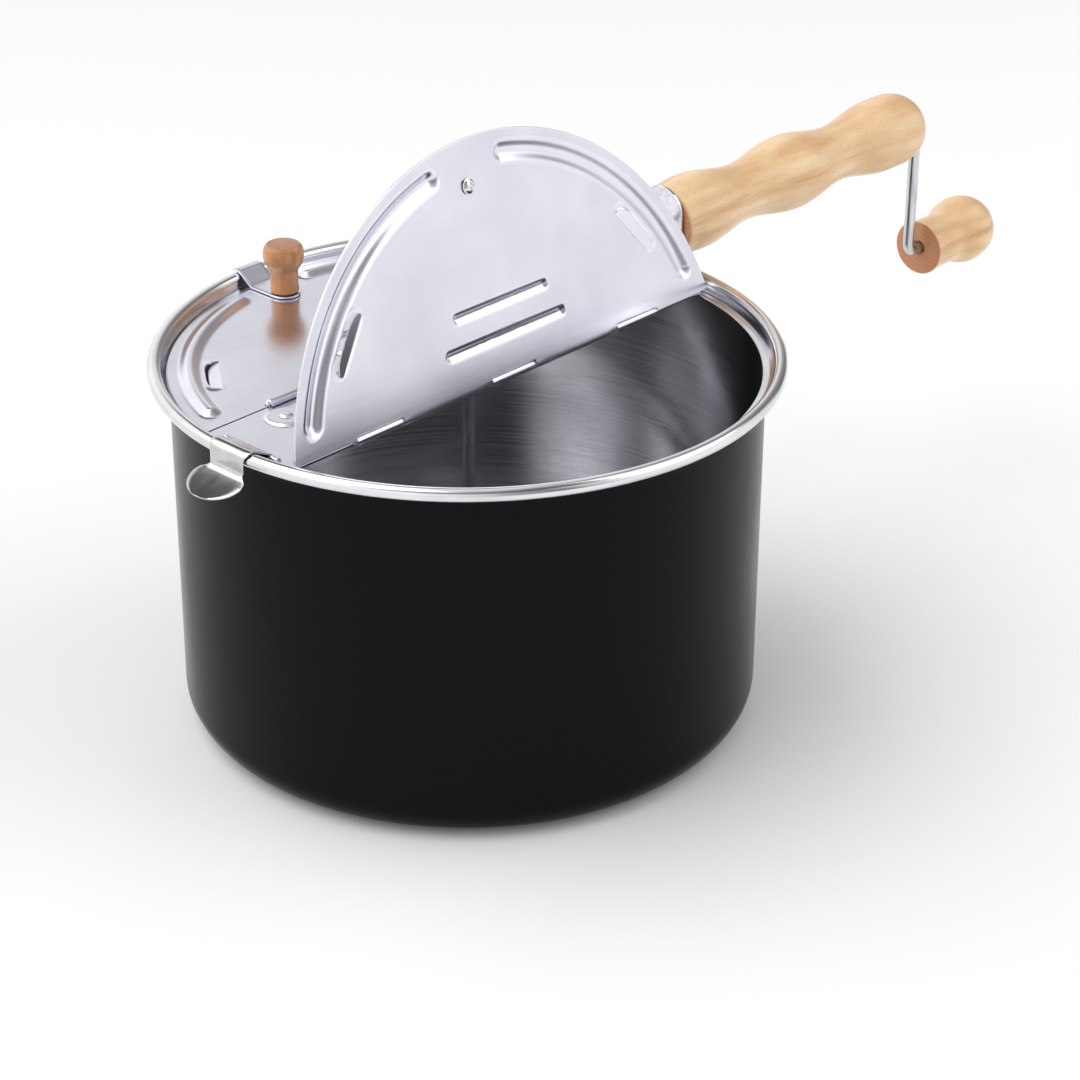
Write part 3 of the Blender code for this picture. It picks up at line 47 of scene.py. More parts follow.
# Heights and places that several pieces share
lidPlan = {"radius": 119.2, "hingeY": 23.8, "hingeZ": 152.1, "sheetBottom": 150.1}
handleZ = 175.4
openAngle = 104.5


# ---- small tools for materials

# An sRGB hex value as linear light with alpha 1.
def hexColour(code):
    channel = np.array([int(code[i : i + 2], 16) for i in (1, 3, 5)]) / 255
    light = np.where(channel <= 0.04045, channel / 12.92, ((channel + 0.055) / 1.055) ** 2.4)
    return (*light.tolist(), 1.0)


# Fills one input of a node with a link, a hex colour or a plain value.
def feed(material, node, socket, value):
    if isinstance(value, bpy.types.NodeSocket):
        material.node_tree.links.new(value, node.inputs[socket])
    else:
        node.inputs[socket].default_value = hexColour(value) if isinstance(value, str) else value


# Adds a node with its settings and inputs, and gives back one of its outputs.
def addNode(material, kind, settings, inputs, output=0):
    node = material.node_tree.nodes.new("ShaderNode" + kind)
    for name, value in settings.items():
        setattr(node, name, value)
    for socket, value in inputs.items():
        feed(material, node, socket, value)
    return node.outputs[output]


# A new material with its shader's own sockets set.
def newMaterial(name, sockets):
    material = bpy.data.materials.new(name)
    material.use_nodes = True
    shader = material.node_tree.nodes["Principled BSDF"]
    for socket, value in sockets.items():
        feed(material, shader, socket, value)
    return material, shader


# A colour ramp's stops, as (place, hex colour or grey level).
def setStops(output, stops):
    elements = output.node.color_ramp.elements
    while len(elements) < len(stops):
        elements.new(0.5)
    for element, (place, value) in zip(elements, stops):
        element.position = place
        element.color = hexColour(value) if isinstance(value, str) else (value, value, value, 1.0)


# Object coordinates moved and turned so that the piece's own axis is Z and its start is 0.
def pieceCoordinates(material, centre=(0, 0, 0), turn=(0, 0, 0), source="Object"):
    inputs = {
        "Vector": addNode(material, "TexCoord", {}, {}, source),
        "Location": [value * mm for value in centre],
        "Rotation": [math.radians(value) for value in turn],
    }
    return addNode(material, "Mapping", {"vector_type": "TEXTURE"}, inputs)


# Noise whose cells have a real size in millimetres along each axis.
def noiseOf(material, where, sizes, detail=3.0, roughness=0.5):
    scale = [1.0 / (size * mm) for size in sizes]
    where = addNode(material, "VectorMath", {"operation": "MULTIPLY"}, {0: where, 1: scale})
    inputs = {"Vector": where, "Scale": 1.0, "Detail": detail, "Roughness": roughness}
    return addNode(material, "TexNoise", {}, inputs, "Fac")


# A value carried from one range to another, as the inputs of a Map Range node.
def levels(value, low=0.0, high=1.0, fromLow=0.3, fromHigh=0.7):
    return {
        "Value": value, "From Min": fromLow, "From Max": fromHigh, "To Min": low, "To Max": high
    }


# One colour over another, as far as a pattern says once it is carried to its range.
def tinted(material, under, pattern, over, *span):
    share = addNode(material, "MapRange", {}, levels(pattern, *span))
    return addNode(material, "Mix", {"data_type": "RGBA"}, {0: share, 6: under, 7: over}, 2)


# Gives a shader its colour, a roughness that follows a pattern, and bumps, the first deepest.
def dress(material, shader, colour, roughness, bumps):
    feed(material, shader, "Base Color", colour)
    feed(material, shader, "Roughness", addNode(material, "MapRange", {}, levels(*roughness)))
    inputs = {}
    for height, depth, strength in bumps:
        inputs = {**inputs, "Height": height, "Distance": depth * mm, "Strength": strength}
        inputs = {"Normal": addNode(material, "Bump", {}, inputs)}
    feed(material, shader, "Normal", inputs["Normal"])


# ---- materials

# Coordinates that only tell the distance from Z and the height, for rings round the axis.
def ringCoordinates(material, where):
    flat = addNode(material, "VectorMath", {"operation": "MULTIPLY"}, {0: where, 1: (1, 1, 0)})
    radius = addNode(material, "VectorMath", {"operation": "LENGTH"}, {0: flat}, "Value")
    height = addNode(material, "SeparateXYZ", {}, {0: where}, "Z")
    return addNode(material, "CombineXYZ", {}, {"X": radius, "Y": 0.0, "Z": height})


# A finish made of noises: each is (cell sizes in mm, detail), and is named again where it lays
# a tint over the colour, drives the roughness or raises a bump of a depth in mm.
def noisyFinish(name, look):
    material, shader = newMaterial(name, look["sockets"])
    where = pieceCoordinates(material)
    noise = {key: noiseOf(material, where, *cells) for key, cells in look["noises"].items()}
    if "rings" in look:
        noise["rings"] = noiseOf(material, ringCoordinates(material, where), *look["rings"])
    colour = look["colour"]
    for key, over, *span in look["tints"]:
        colour = tinted(material, colour, noise[key], over, *span)
    key, *span = look["roughness"]
    bumps = [(noise[pattern], depth, strength) for pattern, depth, strength in look["bumps"]]
    dress(material, shader, colour, (noise[key], *span), bumps)
    return material


# Porcelain enamel, sprayed and fired: deep black, glossy, with a faint orange-peel swim.
enamelLook = {
    "sockets": {"Base Color": "#0B0B0D", "IOR": 1.5, "Specular IOR Level": 0.07},
    "noises": {"peel": ([5.0] * 3, 1.0), "speck": ([0.6] * 3, 2.0), "cloud": ((45, 45, 60), 2.0)},
    "colour": "#09090B", "tints": [("speck", "#101013")], "roughness": ("cloud", 0.17, 0.27),
    "bumps": [("peel", 0.020, 0.5), ("speck", 0.002, 0.4)],
}
# Spun aluminium, polished on the lathe: mirror-bright with fine rings round the pot's axis.
spunLook = {
    "sockets": {"Metallic": 1.0}, "noises": {"cloud": ([30] * 3, 3.0)}, "rings": ([0.35] * 3, 4.0),
    "colour": "#CFCFD2", "tints": [("cloud", "#E9E9EC", 0.2, 1.0)],
    "roughness": ("rings", 0.10, 0.24), "bumps": [("rings", 0.004, 0.5)],
}
# Rolled aluminium sheet, stamped and left satin: blurred reflections with faint rolling lines.
stampedLook = {
    "sockets": {"Metallic": 1.0},
    "noises": {
        "line": ((22.0, 0.30, 0.30), 3.0), "cloud": ([38] * 3, 2.0),
        "scuff": ((6.0, 1.2, 1.2), 4.0),
    },
    "colour": "#DADAE6",
    "tints": [("cloud", "#E8E8F1", 0.1, 1.0), ("scuff", "#C0C0CC", 0.0, 0.07, 0.55, 0.75)],
    "roughness": ("line", 0.19, 0.26),
    "bumps": [("line", 0.0018, 0.5)],
}
# Stainless strip, cold rolled and tumbled bright: crisp reflections, faint lengthwise polish.
stainlessLook = {
    "sockets": {"Metallic": 1.0},
    "noises": {"line": ((14.0, 0.22, 14.0), 3.0), "cloud": ([9] * 3, 2.0)}, "colour": "#CFCFD0",
    "tints": [("cloud", "#BEBEC0")], "roughness": ("line", 0.09, 0.20),
    "bumps": [("line", 0.003, 0.4)],
}
# Zinc plate on steel: bright and slightly blue, with a soft mottle from the bath.
zincLook = {
    "sockets": {"Metallic": 1.0}, "noises": {"mottle": ([1.6] * 3, 3.0), "grit": ([0.25] * 3, 2.0)},
    "colour": "#DCDFE4", "tints": [("mottle", "#E8E7E3")], "roughness": ("mottle", 0.14, 0.27),
    "bumps": [("grit", 0.003, 0.4)],
}
# Moulded nylon: milky white, waxy, a little light in its skin and a fine spark texture.
nylonLook = {
    "sockets": {
        "IOR": 1.53, "Subsurface Weight": 0.15, "Subsurface Radius": (0.002, 0.0016, 0.0012)
    },
    "noises": {"grain": ([0.35] * 3, 2.0), "cloud": ([5] * 3, 2.0)}, "colour": "#E9E6DC",
    "tints": [("cloud", "#DDD9CC")], "roughness": ("grain", 0.36, 0.5),
    "bumps": [("grain", 0.02, 0.5)],
}
# Sintered bronze, oil filled: dull gold with open dark pores a tenth of a millimetre wide,
# drawn three times as coarse so that they show.
bronzeLook = {
    "sockets": {"Metallic": 1.0}, "noises": {"pore": ([0.3] * 3, 2.0)}, "colour": "#B48C56",
    "tints": [("pore", "#5E4526", 0.0, 0.8, 0.56, 0.7)], "roughness": ("pore", 0.32, 0.6),
    "bumps": [("pore", -0.03, 0.6)],
}


# Cold-drawn steel wire: bright, with streaks from the die along its length, which lies along
# another axis on each piece.
def drawnSteelLook(stretch):
    return {
        "sockets": {"Metallic": 1.0},
        "noises": {"streak": ([0.45 * value for value in stretch], 3.0), "grit": ([0.3] * 3, 2.0)},
        "colour": "#DADCDF", "tints": [("streak", "#BDBFC5")], "roughness": ("streak", 0.24, 0.38),
        "bumps": [("grit", 0.002, 0.4)],
    }


# slope sets how far the painted shade on the sloping flanks of a turned piece darkens it towards
# the deep tone
paleTones = {
    "pale": "#F3D5A9", "body": "#E9C293", "deep": "#CE9C69", "fibre": "#C9965F", "fleck": "#A8743F",
    "endDark": "#C08057", "endLight": "#C98B62", "blotch": 0.45, "slope": 0.35,
}
redTones = {
    "pale": "#D8A26C", "body": "#CB8F59", "deep": "#AA6E43", "fibre": "#9C6238", "fleck": "#7E4A28",
    "endDark": "#A0694F", "endLight": "#B07A5D", "blotch": 0.5, "slope": 0.4,
}


# Beech, turned and clear lacquered: pale straight grain along the piece, short darker ray flecks,
# soft tan bands, darker end grain where the turning cuts across the fibres, and painted shade on
# the sloping flanks.
def turnedBeech(name, tones, centre, turn):
    sockets = {"IOR": 1.5, "Coat Weight": 0.35, "Coat Roughness": 0.16}
    material, shader = newMaterial(name, sockets)
    where = pieceCoordinates(material, centre, turn)
    warp = noiseOf(material, where, (14, 14, 60), 2.0)
    bands = noiseOf(material, where, (6.0, 9.0, 110.0), 3.0, 0.55)
    fibre = noiseOf(material, where, (0.45, 0.45, 16.0), 3.0)
    fleck = noiseOf(material, where, (0.5, 0.8, 3.2), 1.0)
    blotch = noiseOf(material, where, (17, 17, 26), 1.0)
    pores = noiseOf(material, where, [0.35] * 3, 2.0)
    colour = addNode(material, "ValToRGB", {}, {"Fac": bands}, "Color")
    setStops(colour, [(0.30, tones["deep"]), (0.46, tones["body"]), (0.66, tones["pale"])])
    colour = tinted(material, colour, blotch, tones["deep"], 0.0, tones["blotch"], 0.42, 0.68)
    colour = tinted(material, colour, fibre, tones["fibre"], 0.0, 0.20, 0.4, 0.7)
    colour = tinted(material, colour, fleck, tones["fleck"], 0.0, 0.22, 0.62, 0.74)
    # end grain: where the piece's own normal lies along its axis
    normal = pieceCoordinates(material, (0, 0, 0), turn, "Normal")
    lean = addNode(material, "SeparateXYZ", {}, {0: normal}, "Z")
    facing = addNode(material, "Math", {"operation": "ABSOLUTE"}, {0: lean})
    flat = addNode(material, "VectorMath", {"operation": "MULTIPLY"}, {0: where, 1: (1, 1, 0)})
    heart = addNode(material, "VectorMath", {"operation": "ADD"}, {0: flat, 1: (0.03, 0.012, 0)})
    wave = {"Vector": heart, "Scale": 140.0, "Distortion": 3.0, "Detail": 2.0}
    rings = {"wave_type": "RINGS", "rings_direction": "Z"}
    yearRings = addNode(material, "TexWave", rings, wave, "Fac")
    endColour = addNode(material, "ValToRGB", {}, {"Fac": yearRings}, "Color")
    setStops(endColour, [(0.0, tones["endDark"]), (1.0, tones["endLight"])])
    endColour = tinted(material, endColour, pores, tones["fleck"], 0.0, 0.45, 0.5, 0.72)
    # a slope of the wave cuts a little across the fibres and takes more colour
    # painted shade: where the surface slopes towards the axis it darkens towards the deep tone,
    # partly the fibres cut across by the turning and partly painted shade on the flanks
    colour = tinted(material, colour, facing, tones["deep"], 0.0, tones["slope"], 0.05, 0.45)
    colour = tinted(material, colour, facing, endColour, 0.0, 1.0, 0.72, 0.93)
    dress(material, shader, colour, (fibre, 0.30, 0.44), [(fibre, 0.012, 0.35), (warp, 0.05, 0.2)])
    return material


enamel = noisyFinish("black enamel", enamelLook)
bareMetal = noisyFinish("spun polished aluminium", spunLook)
lidMetal = noisyFinish("stamped satin aluminium", stampedLook)
clipMetal = noisyFinish("polished stainless strip", stainlessLook)
zinc = noisyFinish("bright zinc plate", zincLook)
rodMetal = noisyFinish("drawn steel rod", drawnSteelLook((30.0, 1.0, 30.0)))
shaftMetal = noisyFinish("drawn steel shaft", drawnSteelLook((1.0, 1.0, 30.0)))
wireMetal = noisyFinish("drawn steel wire", drawnSteelLook((12.0, 12.0, 1.0)))
nylon = noisyFinish("moulded nylon", nylonLook)
bronze = noisyFinish("sintered bronze", bronzeLook)
gripWood = turnedBeech("clear lacquered beech grip", paleTones, (117.4, 0, handleZ), (0, 90, 0))
crankWood = turnedBeech(
    "clear lacquered beech crank knob", paleTones, (303.3, 0, 109.2), (0, 90, 0)
)
print("materials made:", len(bpy.data.materials))


# ---- small tools for shapes

# Points of an arc in a plane: centre + radius * (cos, sin), angles in degrees.
def arcLine(centre, radius, start, end, count):
    turn = np.radians(np.linspace(start, end, count))
    return np.stack([centre[0] + radius * np.cos(turn), centre[1] + radius * np.sin(turn)], -1)


# A polyline whose inner corners are rounded: each corner becomes an arc that touches both its
# sides, blended along the sphere between the two touching points.
def softCorners(points, radii, count=6):
    points = np.asarray(points, float)
    radii = np.broadcast_to(np.asarray(radii, float), (len(points) - 2,))[:, None]
    before = points[:-2] - points[1:-1]
    after = points[2:] - points[1:-1]
    before /= np.linalg.norm(before, axis=1, keepdims=True)
    after /= np.linalg.norm(after, axis=1, keepdims=True)
    half = 0.5 * np.arccos(np.clip((before * after).sum(1, keepdims=True), -1, 1))
    middle = before + after
    middle /= np.maximum(np.linalg.norm(middle, axis=1, keepdims=True), 1e-9)
    centre = points[1:-1] + middle * radii / np.sin(half)
    first = points[1:-1] + before * radii / np.tan(half) - centre
    last = points[1:-1] + after * radii / np.tan(half) - centre
    sweep = (math.pi - 2 * half)[:, None, :]
    share = np.linspace(0, 1, count)[None, :, None]
    blend = np.sin((1 - share) * sweep) * first[:, None] + np.sin(share * sweep) * last[:, None]
    arcs = centre[:, None] + blend / np.maximum(np.sin(sweep), 1e-9)
    return np.concatenate([points[:1], arcs.reshape(-1, 2), points[-1:]])


# Faces of a point grid, as quads between neighbours, closed round the columns.
def gridQuads(rows, columns, ring):
    row, column = np.meshgrid(
        np.arange(rows if ring else rows - 1), np.arange(columns), indexing="ij"
    )
    nextRow, nextColumn = (row + 1) % rows, (column + 1) % columns
    corners = (row, column), (nextRow, column), (nextRow, nextColumn), (row, nextColumn)
    return np.stack([r * columns + c for r, c in corners], -1).reshape(-1, 4)


# One closed skin from a grid of loops. The ends close by zipping each loop's two halves
# together. finish is a material number, or one for each band of faces.
def skin(grid, ring=False, finish=0):
    rows, columns = grid.shape[:2]
    quads = gridQuads(rows, columns, ring)
    bands = np.broadcast_to(finish, (rows if ring else rows - 1,))
    finishes = np.repeat(bands, columns)
    if not ring:
        near = np.arange(columns // 2 - 1)
        cap = np.stack([near, near + 1, columns - 2 - near, columns - 1 - near], -1)
        quads = np.concatenate([quads, cap, cap + (rows - 1) * columns])
        finishes = np.concatenate(
            [finishes, np.full(len(cap), bands[0]), np.full(len(cap), bands[-1])]
        )
    return grid.reshape(-1, 3) * mm, quads, finishes


# Loops carried to another place by a 4x4 matrix whose lengths are millimetres.
def placed(grid, matrix):
    m = np.array(matrix)
    return grid @ m[:3, :3].T + m[:3, 3]


alongX = Matrix(((0, 0, 1, 0), (1, 0, 0, 0), (0, 1, 0, 0), (0, 0, 0, 1)))
swapXY = Matrix(((0, 1, 0, 0), (1, 0, 0, 0), (0, 0, 1, 0), (0, 0, 0, 1)))


def moved(x, y, z, turn=Matrix()):
    return Matrix.Translation((x, y, z)) @ turn


# A profile of (radius, height) turned about Z: (r cos a, r sin a, h).
def revolve(profile, steps):
    angle = np.linspace(0, 2 * np.pi, steps, endpoint=False)
    radius, height = profile[:, :1], profile[:, 1:]
    return np.stack(np.broadcast_arrays(radius * np.cos(angle), radius * np.sin(angle), height), -1)


# Unit tangent and normal of a plane line at each of its points.
def lineFrame(path):
    tangent = np.gradient(path, axis=0)
    tangent /= np.maximum(np.linalg.norm(tangent, axis=1, keepdims=True), 1e-9)
    return tangent, np.stack([-tangent[:, 1], tangent[:, 0]], -1)


# The line again at even steps, with extra stations near both ends for their rounding.
# Returns the points and each one's distance from the start and the end.
def stations(path, edge, step):
    length = np.concatenate([[0], np.cumsum(np.linalg.norm(np.diff(path, axis=0), axis=1))])
    total = length[-1]
    rounding = edge * (1 - np.sin(np.radians([90, 60, 35, 15, 0])))
    kept = length[(length > edge * 1.2) & (length < total - edge * 1.2)]
    even = np.linspace(edge * 1.3, total - edge * 1.3, max(2, int(total / step)))
    along = np.unique(np.round(np.concatenate([rounding, kept, even, total - rounding]), 4))
    points = np.stack([np.interp(along, length, path[:, i]) for i in (0, 1)], -1)
    return points, along, total - along


# A round bar with chamfered ends along a line in the XZ plane: line + r * (normal * cos a +
# Y * sin a).
def roundBar(line, radius, chamfer, step, sides):
    path, fromStart, fromEnd = stations(line, chamfer, step)
    nearEnd = np.minimum(np.minimum(fromStart, fromEnd), chamfer)
    _, normal = lineFrame(path)
    angle = np.linspace(0, 2 * np.pi, sides, endpoint=False) + np.pi / sides
    reach = (radius - chamfer + nearEnd)[:, None]
    x = path[:, :1] + normal[:, :1] * reach * np.cos(angle)
    z = path[:, 1:] + normal[:, 1:] * reach * np.cos(angle)
    return np.stack([x, reach * np.sin(angle), z], -1)


# How wide a strip's half round end is, as a share of its width: sqrt(1 - (past / reach)^2).
def roundEnd(past, reach):
    return np.sqrt(np.maximum(1 - np.clip(past / reach, 0, 1) ** 2, 0))


# A sheet strip bent along a line in the XZ plane: a rectangle with rounded corners, half as
# wide as halfWidth(x, z, distance) says, carried along the line, and drawn in at its two ends.
def strip(path, thickness, halfWidth, edge=0.22, step=1.5, thin=None):
    points, fromStart, fromEnd = stations(np.asarray(path, float), edge, step)
    _, normal = lineFrame(points)
    nearEnd = np.minimum(np.minimum(fromStart, fromEnd), edge)
    shrink = edge - np.sqrt(np.maximum(edge**2 - (edge - nearEnd) ** 2, 0))
    wide = halfWidth(points[:, 0], points[:, 1], fromStart) if callable(halfWidth) else halfWidth
    wide = np.maximum(np.broadcast_to(wide, shrink.shape) - shrink, edge + 0.02)[:, None]
    full = thickness if thin is None else thickness * thin(fromStart, fromEnd)
    high = np.maximum(full / 2 - shrink, edge * 0.2)[:, None]
    turn = np.radians(np.array([8, 30, 55, 90]))
    corner = np.minimum(edge, high * 0.98)
    y, z = -(wide - corner) - corner * np.cos(turn), high - corner + corner * np.sin(turn)
    left = np.stack(np.broadcast_arrays(y, z), -1)
    inner = np.linspace(-1, 1, 9)[1:-1]
    flat = np.stack(np.broadcast_arrays((wide - corner) * inner, high + 0 * inner), -1)
    right = left[:, ::-1] * [-1, 1]
    upper = np.concatenate([left, flat, right], 1)
    loop = np.concatenate([upper, upper[:, ::-1] * [1, -1]], 1)
    x = points[:, :1] + normal[:, :1] * loop[..., 1]
    z = points[:, 1:] + normal[:, 1:] * loop[..., 1]
    return np.stack([x, loop[..., 0], z], -1)


# A pressed sheet seen from above: each row of plan points gets the sheet's top and, coming
# back, its underside, both raised by lift, and both ends of the row are rounded.
def pressedSheet(plan, lift, bottom, thickness, edge, shrink):
    ends = []
    for last, inner in ((0, 1), (-1, -2)):
        away = plan[:, last] - plan[:, inner]
        cell = np.maximum(np.linalg.norm(away, axis=1, keepdims=True), 1e-9)
        turn = np.radians(np.array([0, 30, 60, 90]))
        soft = np.minimum(edge, 0.45 * cell)
        seen = plan[:, last, None] + (away / cell)[:, None] * (soft * (np.cos(turn) - 1))[..., None]
        ends.append((seen, lift[:, last, None] - soft * (1 - np.sin(turn))))
    (startPlan, startTop), (endPlan, endTop) = ends
    top = np.concatenate([startPlan, plan[:, 1:-1], endPlan[:, ::-1]], 1)
    raised = np.concatenate([startTop, lift[:, 1:-1], endTop[:, ::-1]], 1)
    level = [lift[:, :1] + 0 * startTop, lift[:, 1:-1], lift[:, -1:] + 0 * endTop]
    level = np.concatenate(level, 1)
    drop = level - raised
    upper = np.concatenate([top, (bottom + thickness + raised - shrink)[..., None]], -1)
    lower = np.concatenate([top, (bottom + level + drop + shrink)[..., None]], -1)
    return np.concatenate([upper, lower[:, ::-1]], 1)


# A cutter: an outline that its own middle can see, lifted between two heights.
def cutter(outline, low, high, matrix=None):
    middle = np.broadcast_to(outline.mean(0), outline.shape)
    rows = zip((middle, outline, outline, middle), (low, low, high, high))
    grid = np.stack([np.column_stack([row, np.full(len(row), z)]) for row, z in rows])
    return skin(placed(grid, matrix) if matrix else grid)


def circleLine(centre, radius, count=48):
    return arcLine(centre, radius, 0, 360 * (1 - 1 / count), count)


# The cap of a sphere as a profile, from its middle at the given height out to its edge.
def domeLine(radius, height, top, count, side=1):
    ball = (radius**2 + height**2) / (2 * height)
    reach = math.degrees(math.asin(min(1.0, radius / ball)))
    return arcLine((0, top - side * ball), ball, side * 90, side * (90 - reach), count)


# Skins to one mesh: doubles merged, empty faces dropped, normals outwards.
def toMesh(name, skins):
    starts = np.cumsum([0] + [len(part[0]) for part in skins])
    points = np.concatenate([part[0] for part in skins])
    quads = np.concatenate([part[1] + start for part, start in zip(skins, starts)])
    finishes = np.concatenate([part[2] for part in skins])
    mesh = bpy.data.meshes.new(name)
    mesh.from_pydata(points.tolist(), [], quads.tolist())
    mesh.polygons.foreach_set("material_index", finishes.astype(np.int32))
    bm = bmesh.new()
    bm.from_mesh(mesh)
    bmesh.ops.remove_doubles(bm, verts=bm.verts, dist=2e-6)
    bmesh.ops.dissolve_degenerate(bm, edges=bm.edges, dist=1e-6)
    bmesh.ops.recalc_face_normals(bm, faces=bm.faces)
    bm.to_mesh(mesh)
    bm.free()
    return mesh


def toObject(name, data):
    thing = bpy.data.objects.new(name, data)
    bpy.context.scene.collection.objects.link(thing)
    return thing


# The mesh with the cutters taken away.
def carved(mesh, cutters):
    for part in cutters:
        base = toObject("carving", mesh)
        tool = toObject("cutter", toMesh("cutter", [part]))
        modifier = base.modifiers.new("Carve", "BOOLEAN")
        modifier.operation = "DIFFERENCE"
        modifier.solver = "EXACT"
        modifier.object = tool
        bpy.context.view_layer.update()
        graph = bpy.context.evaluated_depsgraph_get()
        mesh = bpy.data.meshes.new_from_object(base.evaluated_get(graph), depsgraph=graph)
        bpy.data.objects.remove(base)
        bpy.data.objects.remove(tool)
    return mesh


# Several meshes in one, and moved by a matrix.
def joined(name, meshes, matrix=None):
    bm = bmesh.new()
    for mesh in meshes:
        bm.from_mesh(mesh)
    mesh = bpy.data.meshes.new(name)
    bm.to_mesh(mesh)
    bm.free()
    if matrix:
        inMetres = matrix.copy()
        inMetres.translation = matrix.translation * mm
        mesh.transform(inMetres)
    return mesh


slotFinish = {
    "pot": [enamel, bareMetal], "lid": [lidMetal], "clip": [clipMetal], "steel": [zinc],
    "rod": [rodMetal], "gear": [nylon], "bush": [bronze],
}


# Names a mesh or a list of skins as the finished piece for a CAD node: the slot that gives its
# finish, the body that carries it, a name where the node's own (left_hinge_pin as leftHingePin)
# isn't used, materials where the slot's aren't, and the angle from which an edge is sharp.
def addPiece(node, shape, slotName, body="lid", name=None, materials=None, sharpAngle=38):
    first, *others = node.split("_")
    name = name or first + "".join(word.title() for word in others)
    mesh = toMesh(name, shape) if isinstance(shape, list) else shape
    for material in materials or slotFinish[slotName]:
        mesh.materials.append(material)
    mesh.shade_smooth()
    mesh.set_sharp_from_angle(angle=math.radians(sharpAngle))
    piece = toObject(name, mesh)
    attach(piece, body)
    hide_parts(node)
    print(f"{name}: {len(mesh.polygons)} faces")


# ---- pot

pot = {
    "rim": 127.0, "bead": 2.8, "height": 156.0, "body": 118.6, "wall": 1.5, "corner": 14.0,
    "ledge": 149.8, "ledgeReach": 119.9, "neck": 146.4, "steps": 320,
}


# Turned profile: out along the floor, up the wall, over the ledge, round the bead, down the
# outside to a base with a shallow ring recess.
def makePot():
    inner = pot["body"] - pot["wall"]
    innerCorner = pot["corner"] - pot["wall"]
    beadAt = (pot["rim"] - pot["bead"], pot["height"] - pot["bead"])
    floor = np.array([(0, pot["wall"]), (40, pot["wall"]), (80, pot["wall"])])
    rise = arcLine((inner - innerCorner, pot["wall"] + innerCorner), innerCorner, -90, 0, 14)
    wallZ = np.linspace(20, pot["ledge"] - 2.0, 14)
    wall = np.column_stack([np.full(14, inner), wallZ])
    z, reach = pot["ledge"], pot["ledgeReach"]
    ledge = softCorners([(inner, z - 1.6), (inner, z), (reach, z), (reach, z + 1.2)], 0.5, 5)
    inside = np.concatenate([floor, rise, wall, ledge])
    bead = arcLine(beadAt, pot["bead"], 180, -130, 44)
    neck = [bead[-1], (pot["body"] + 0.25, pot["neck"] + 1.2), (pot["body"], pot["neck"] - 1.5)]
    neck = softCorners(neck, 0.6, 5)
    outerZ = np.linspace(pot["neck"] - 3, pot["corner"] + 2, 16)
    outside = np.column_stack([np.full(16, pot["body"]), outerZ])
    base = arcLine((pot["body"] - pot["corner"], pot["corner"]), pot["corner"], 0, -90, 16)
    foot = softCorners([(99, 0), (94, 0), (93, 0.5), (60, 0.5), (0, 0.5)], [0.5, 0.5, 2.0], 4)
    profile = np.concatenate([inside, bead, neck[1:], outside, base, foot])
    black = len(inside) + len(bead) + 1
    finish = np.where(np.arange(len(profile) - 1) >= black, 0, 1)
    shell = [skin(revolve(profile, pot["steps"]), finish=finish)]
    addPiece("pot_body", shell, "pot", "pot", "potShell", sharpAngle=50)


makePot()


# ---- lid flaps

flap = {
    "bottom": -2.0, "thickness": 1.0, "edge": 0.28, "straight": 24.3, "cornerCut": 0.2,
    "turns": 320, "rows": 118,
    "arcRib": {"radius": 110.4, "half": 5.2, "height": 2.2, "start": 17.0, "ends": (79.0, 84.5)},
    "barRibs": [(40.0, 34.0), (53.0, 27.0)], "barHalf": 2.7, "barHeight": 1.5,
    "slot": {"radius": 101.2, "angle": 37.0, "length": 26.5, "width": 6.2, "lip": 1.2, "rise": 0.3},
    "tongue": {"thickness": 0.7, "tilt": 15.0, "gap": 1.2, "ends": 0.7}, "knobX": -6.0,
    "knobY": 101.0, "knuckles": (12.5, 60.5), "roll": 1.475,
}


def smoothFall(distance, reach):
    share = np.clip(distance / reach, 0, 1)
    return 0.5 + 0.5 * np.cos(np.pi * share)


# How far the press lifts the sheet at each point: ridges with a cosine section along two arcs
# and two bars, and a lip that rises towards each vent.
def flapLift(x, y, hand):
    rib = flap["arcRib"]
    radius, angle = np.hypot(x, y), np.degrees(np.arctan2(y, np.abs(x)))
    end = np.where(x * hand < 0, *rib["ends"])
    inSpan = np.clip(angle, rib["start"] + 2, end - 2)
    along = np.radians(angle - inSpan) * rib["radius"]
    lift = rib["height"] * smoothFall(np.hypot(radius - rib["radius"], along), rib["half"])
    for offset, reach in flap["barRibs"]:
        beyond = np.maximum(np.abs(x) - (reach - flap["barHalf"]), 0)
        lift += flap["barHeight"] * smoothFall(np.hypot(y - offset, beyond), flap["barHalf"])
    vent = flap["slot"]
    c, s = math.cos(math.radians(vent["angle"])), math.sin(math.radians(vent["angle"]))
    dx, dy = np.abs(x) - vent["radius"] * c, y - vent["radius"] * s
    across, along = dx * c + dy * s, -dx * s + dy * c
    beyond = np.maximum(np.abs(along) - (vent["length"] - vent["width"]) / 2, 0)
    outside = np.hypot(across, beyond) - vent["width"] / 2
    return lift + vent["rise"] * smoothFall(np.maximum(outside, 0), vent["lip"])


# How far a vent reaches outwards at each point of its length: a straight inner side and a
# bulging outer one, width * sqrt(1 - (2 along / length)^4).
def ventReach(along):
    vent = flap["slot"]
    return vent["width"] * np.sqrt(np.maximum(1 - (2 * along / vent["length"]) ** 4, 0))


# A vent seen from above, in its own frame: across outwards, along the hole.
def ventPlan(angle, across, along):
    vent = flap["slot"]
    c, s = math.cos(math.radians(angle)), math.sin(math.radians(angle))
    out = vent["radius"] - vent["width"] / 2 + across
    return np.stack([out * c - along * s, out * s + along * c - lidPlan["hingeY"]], -1)


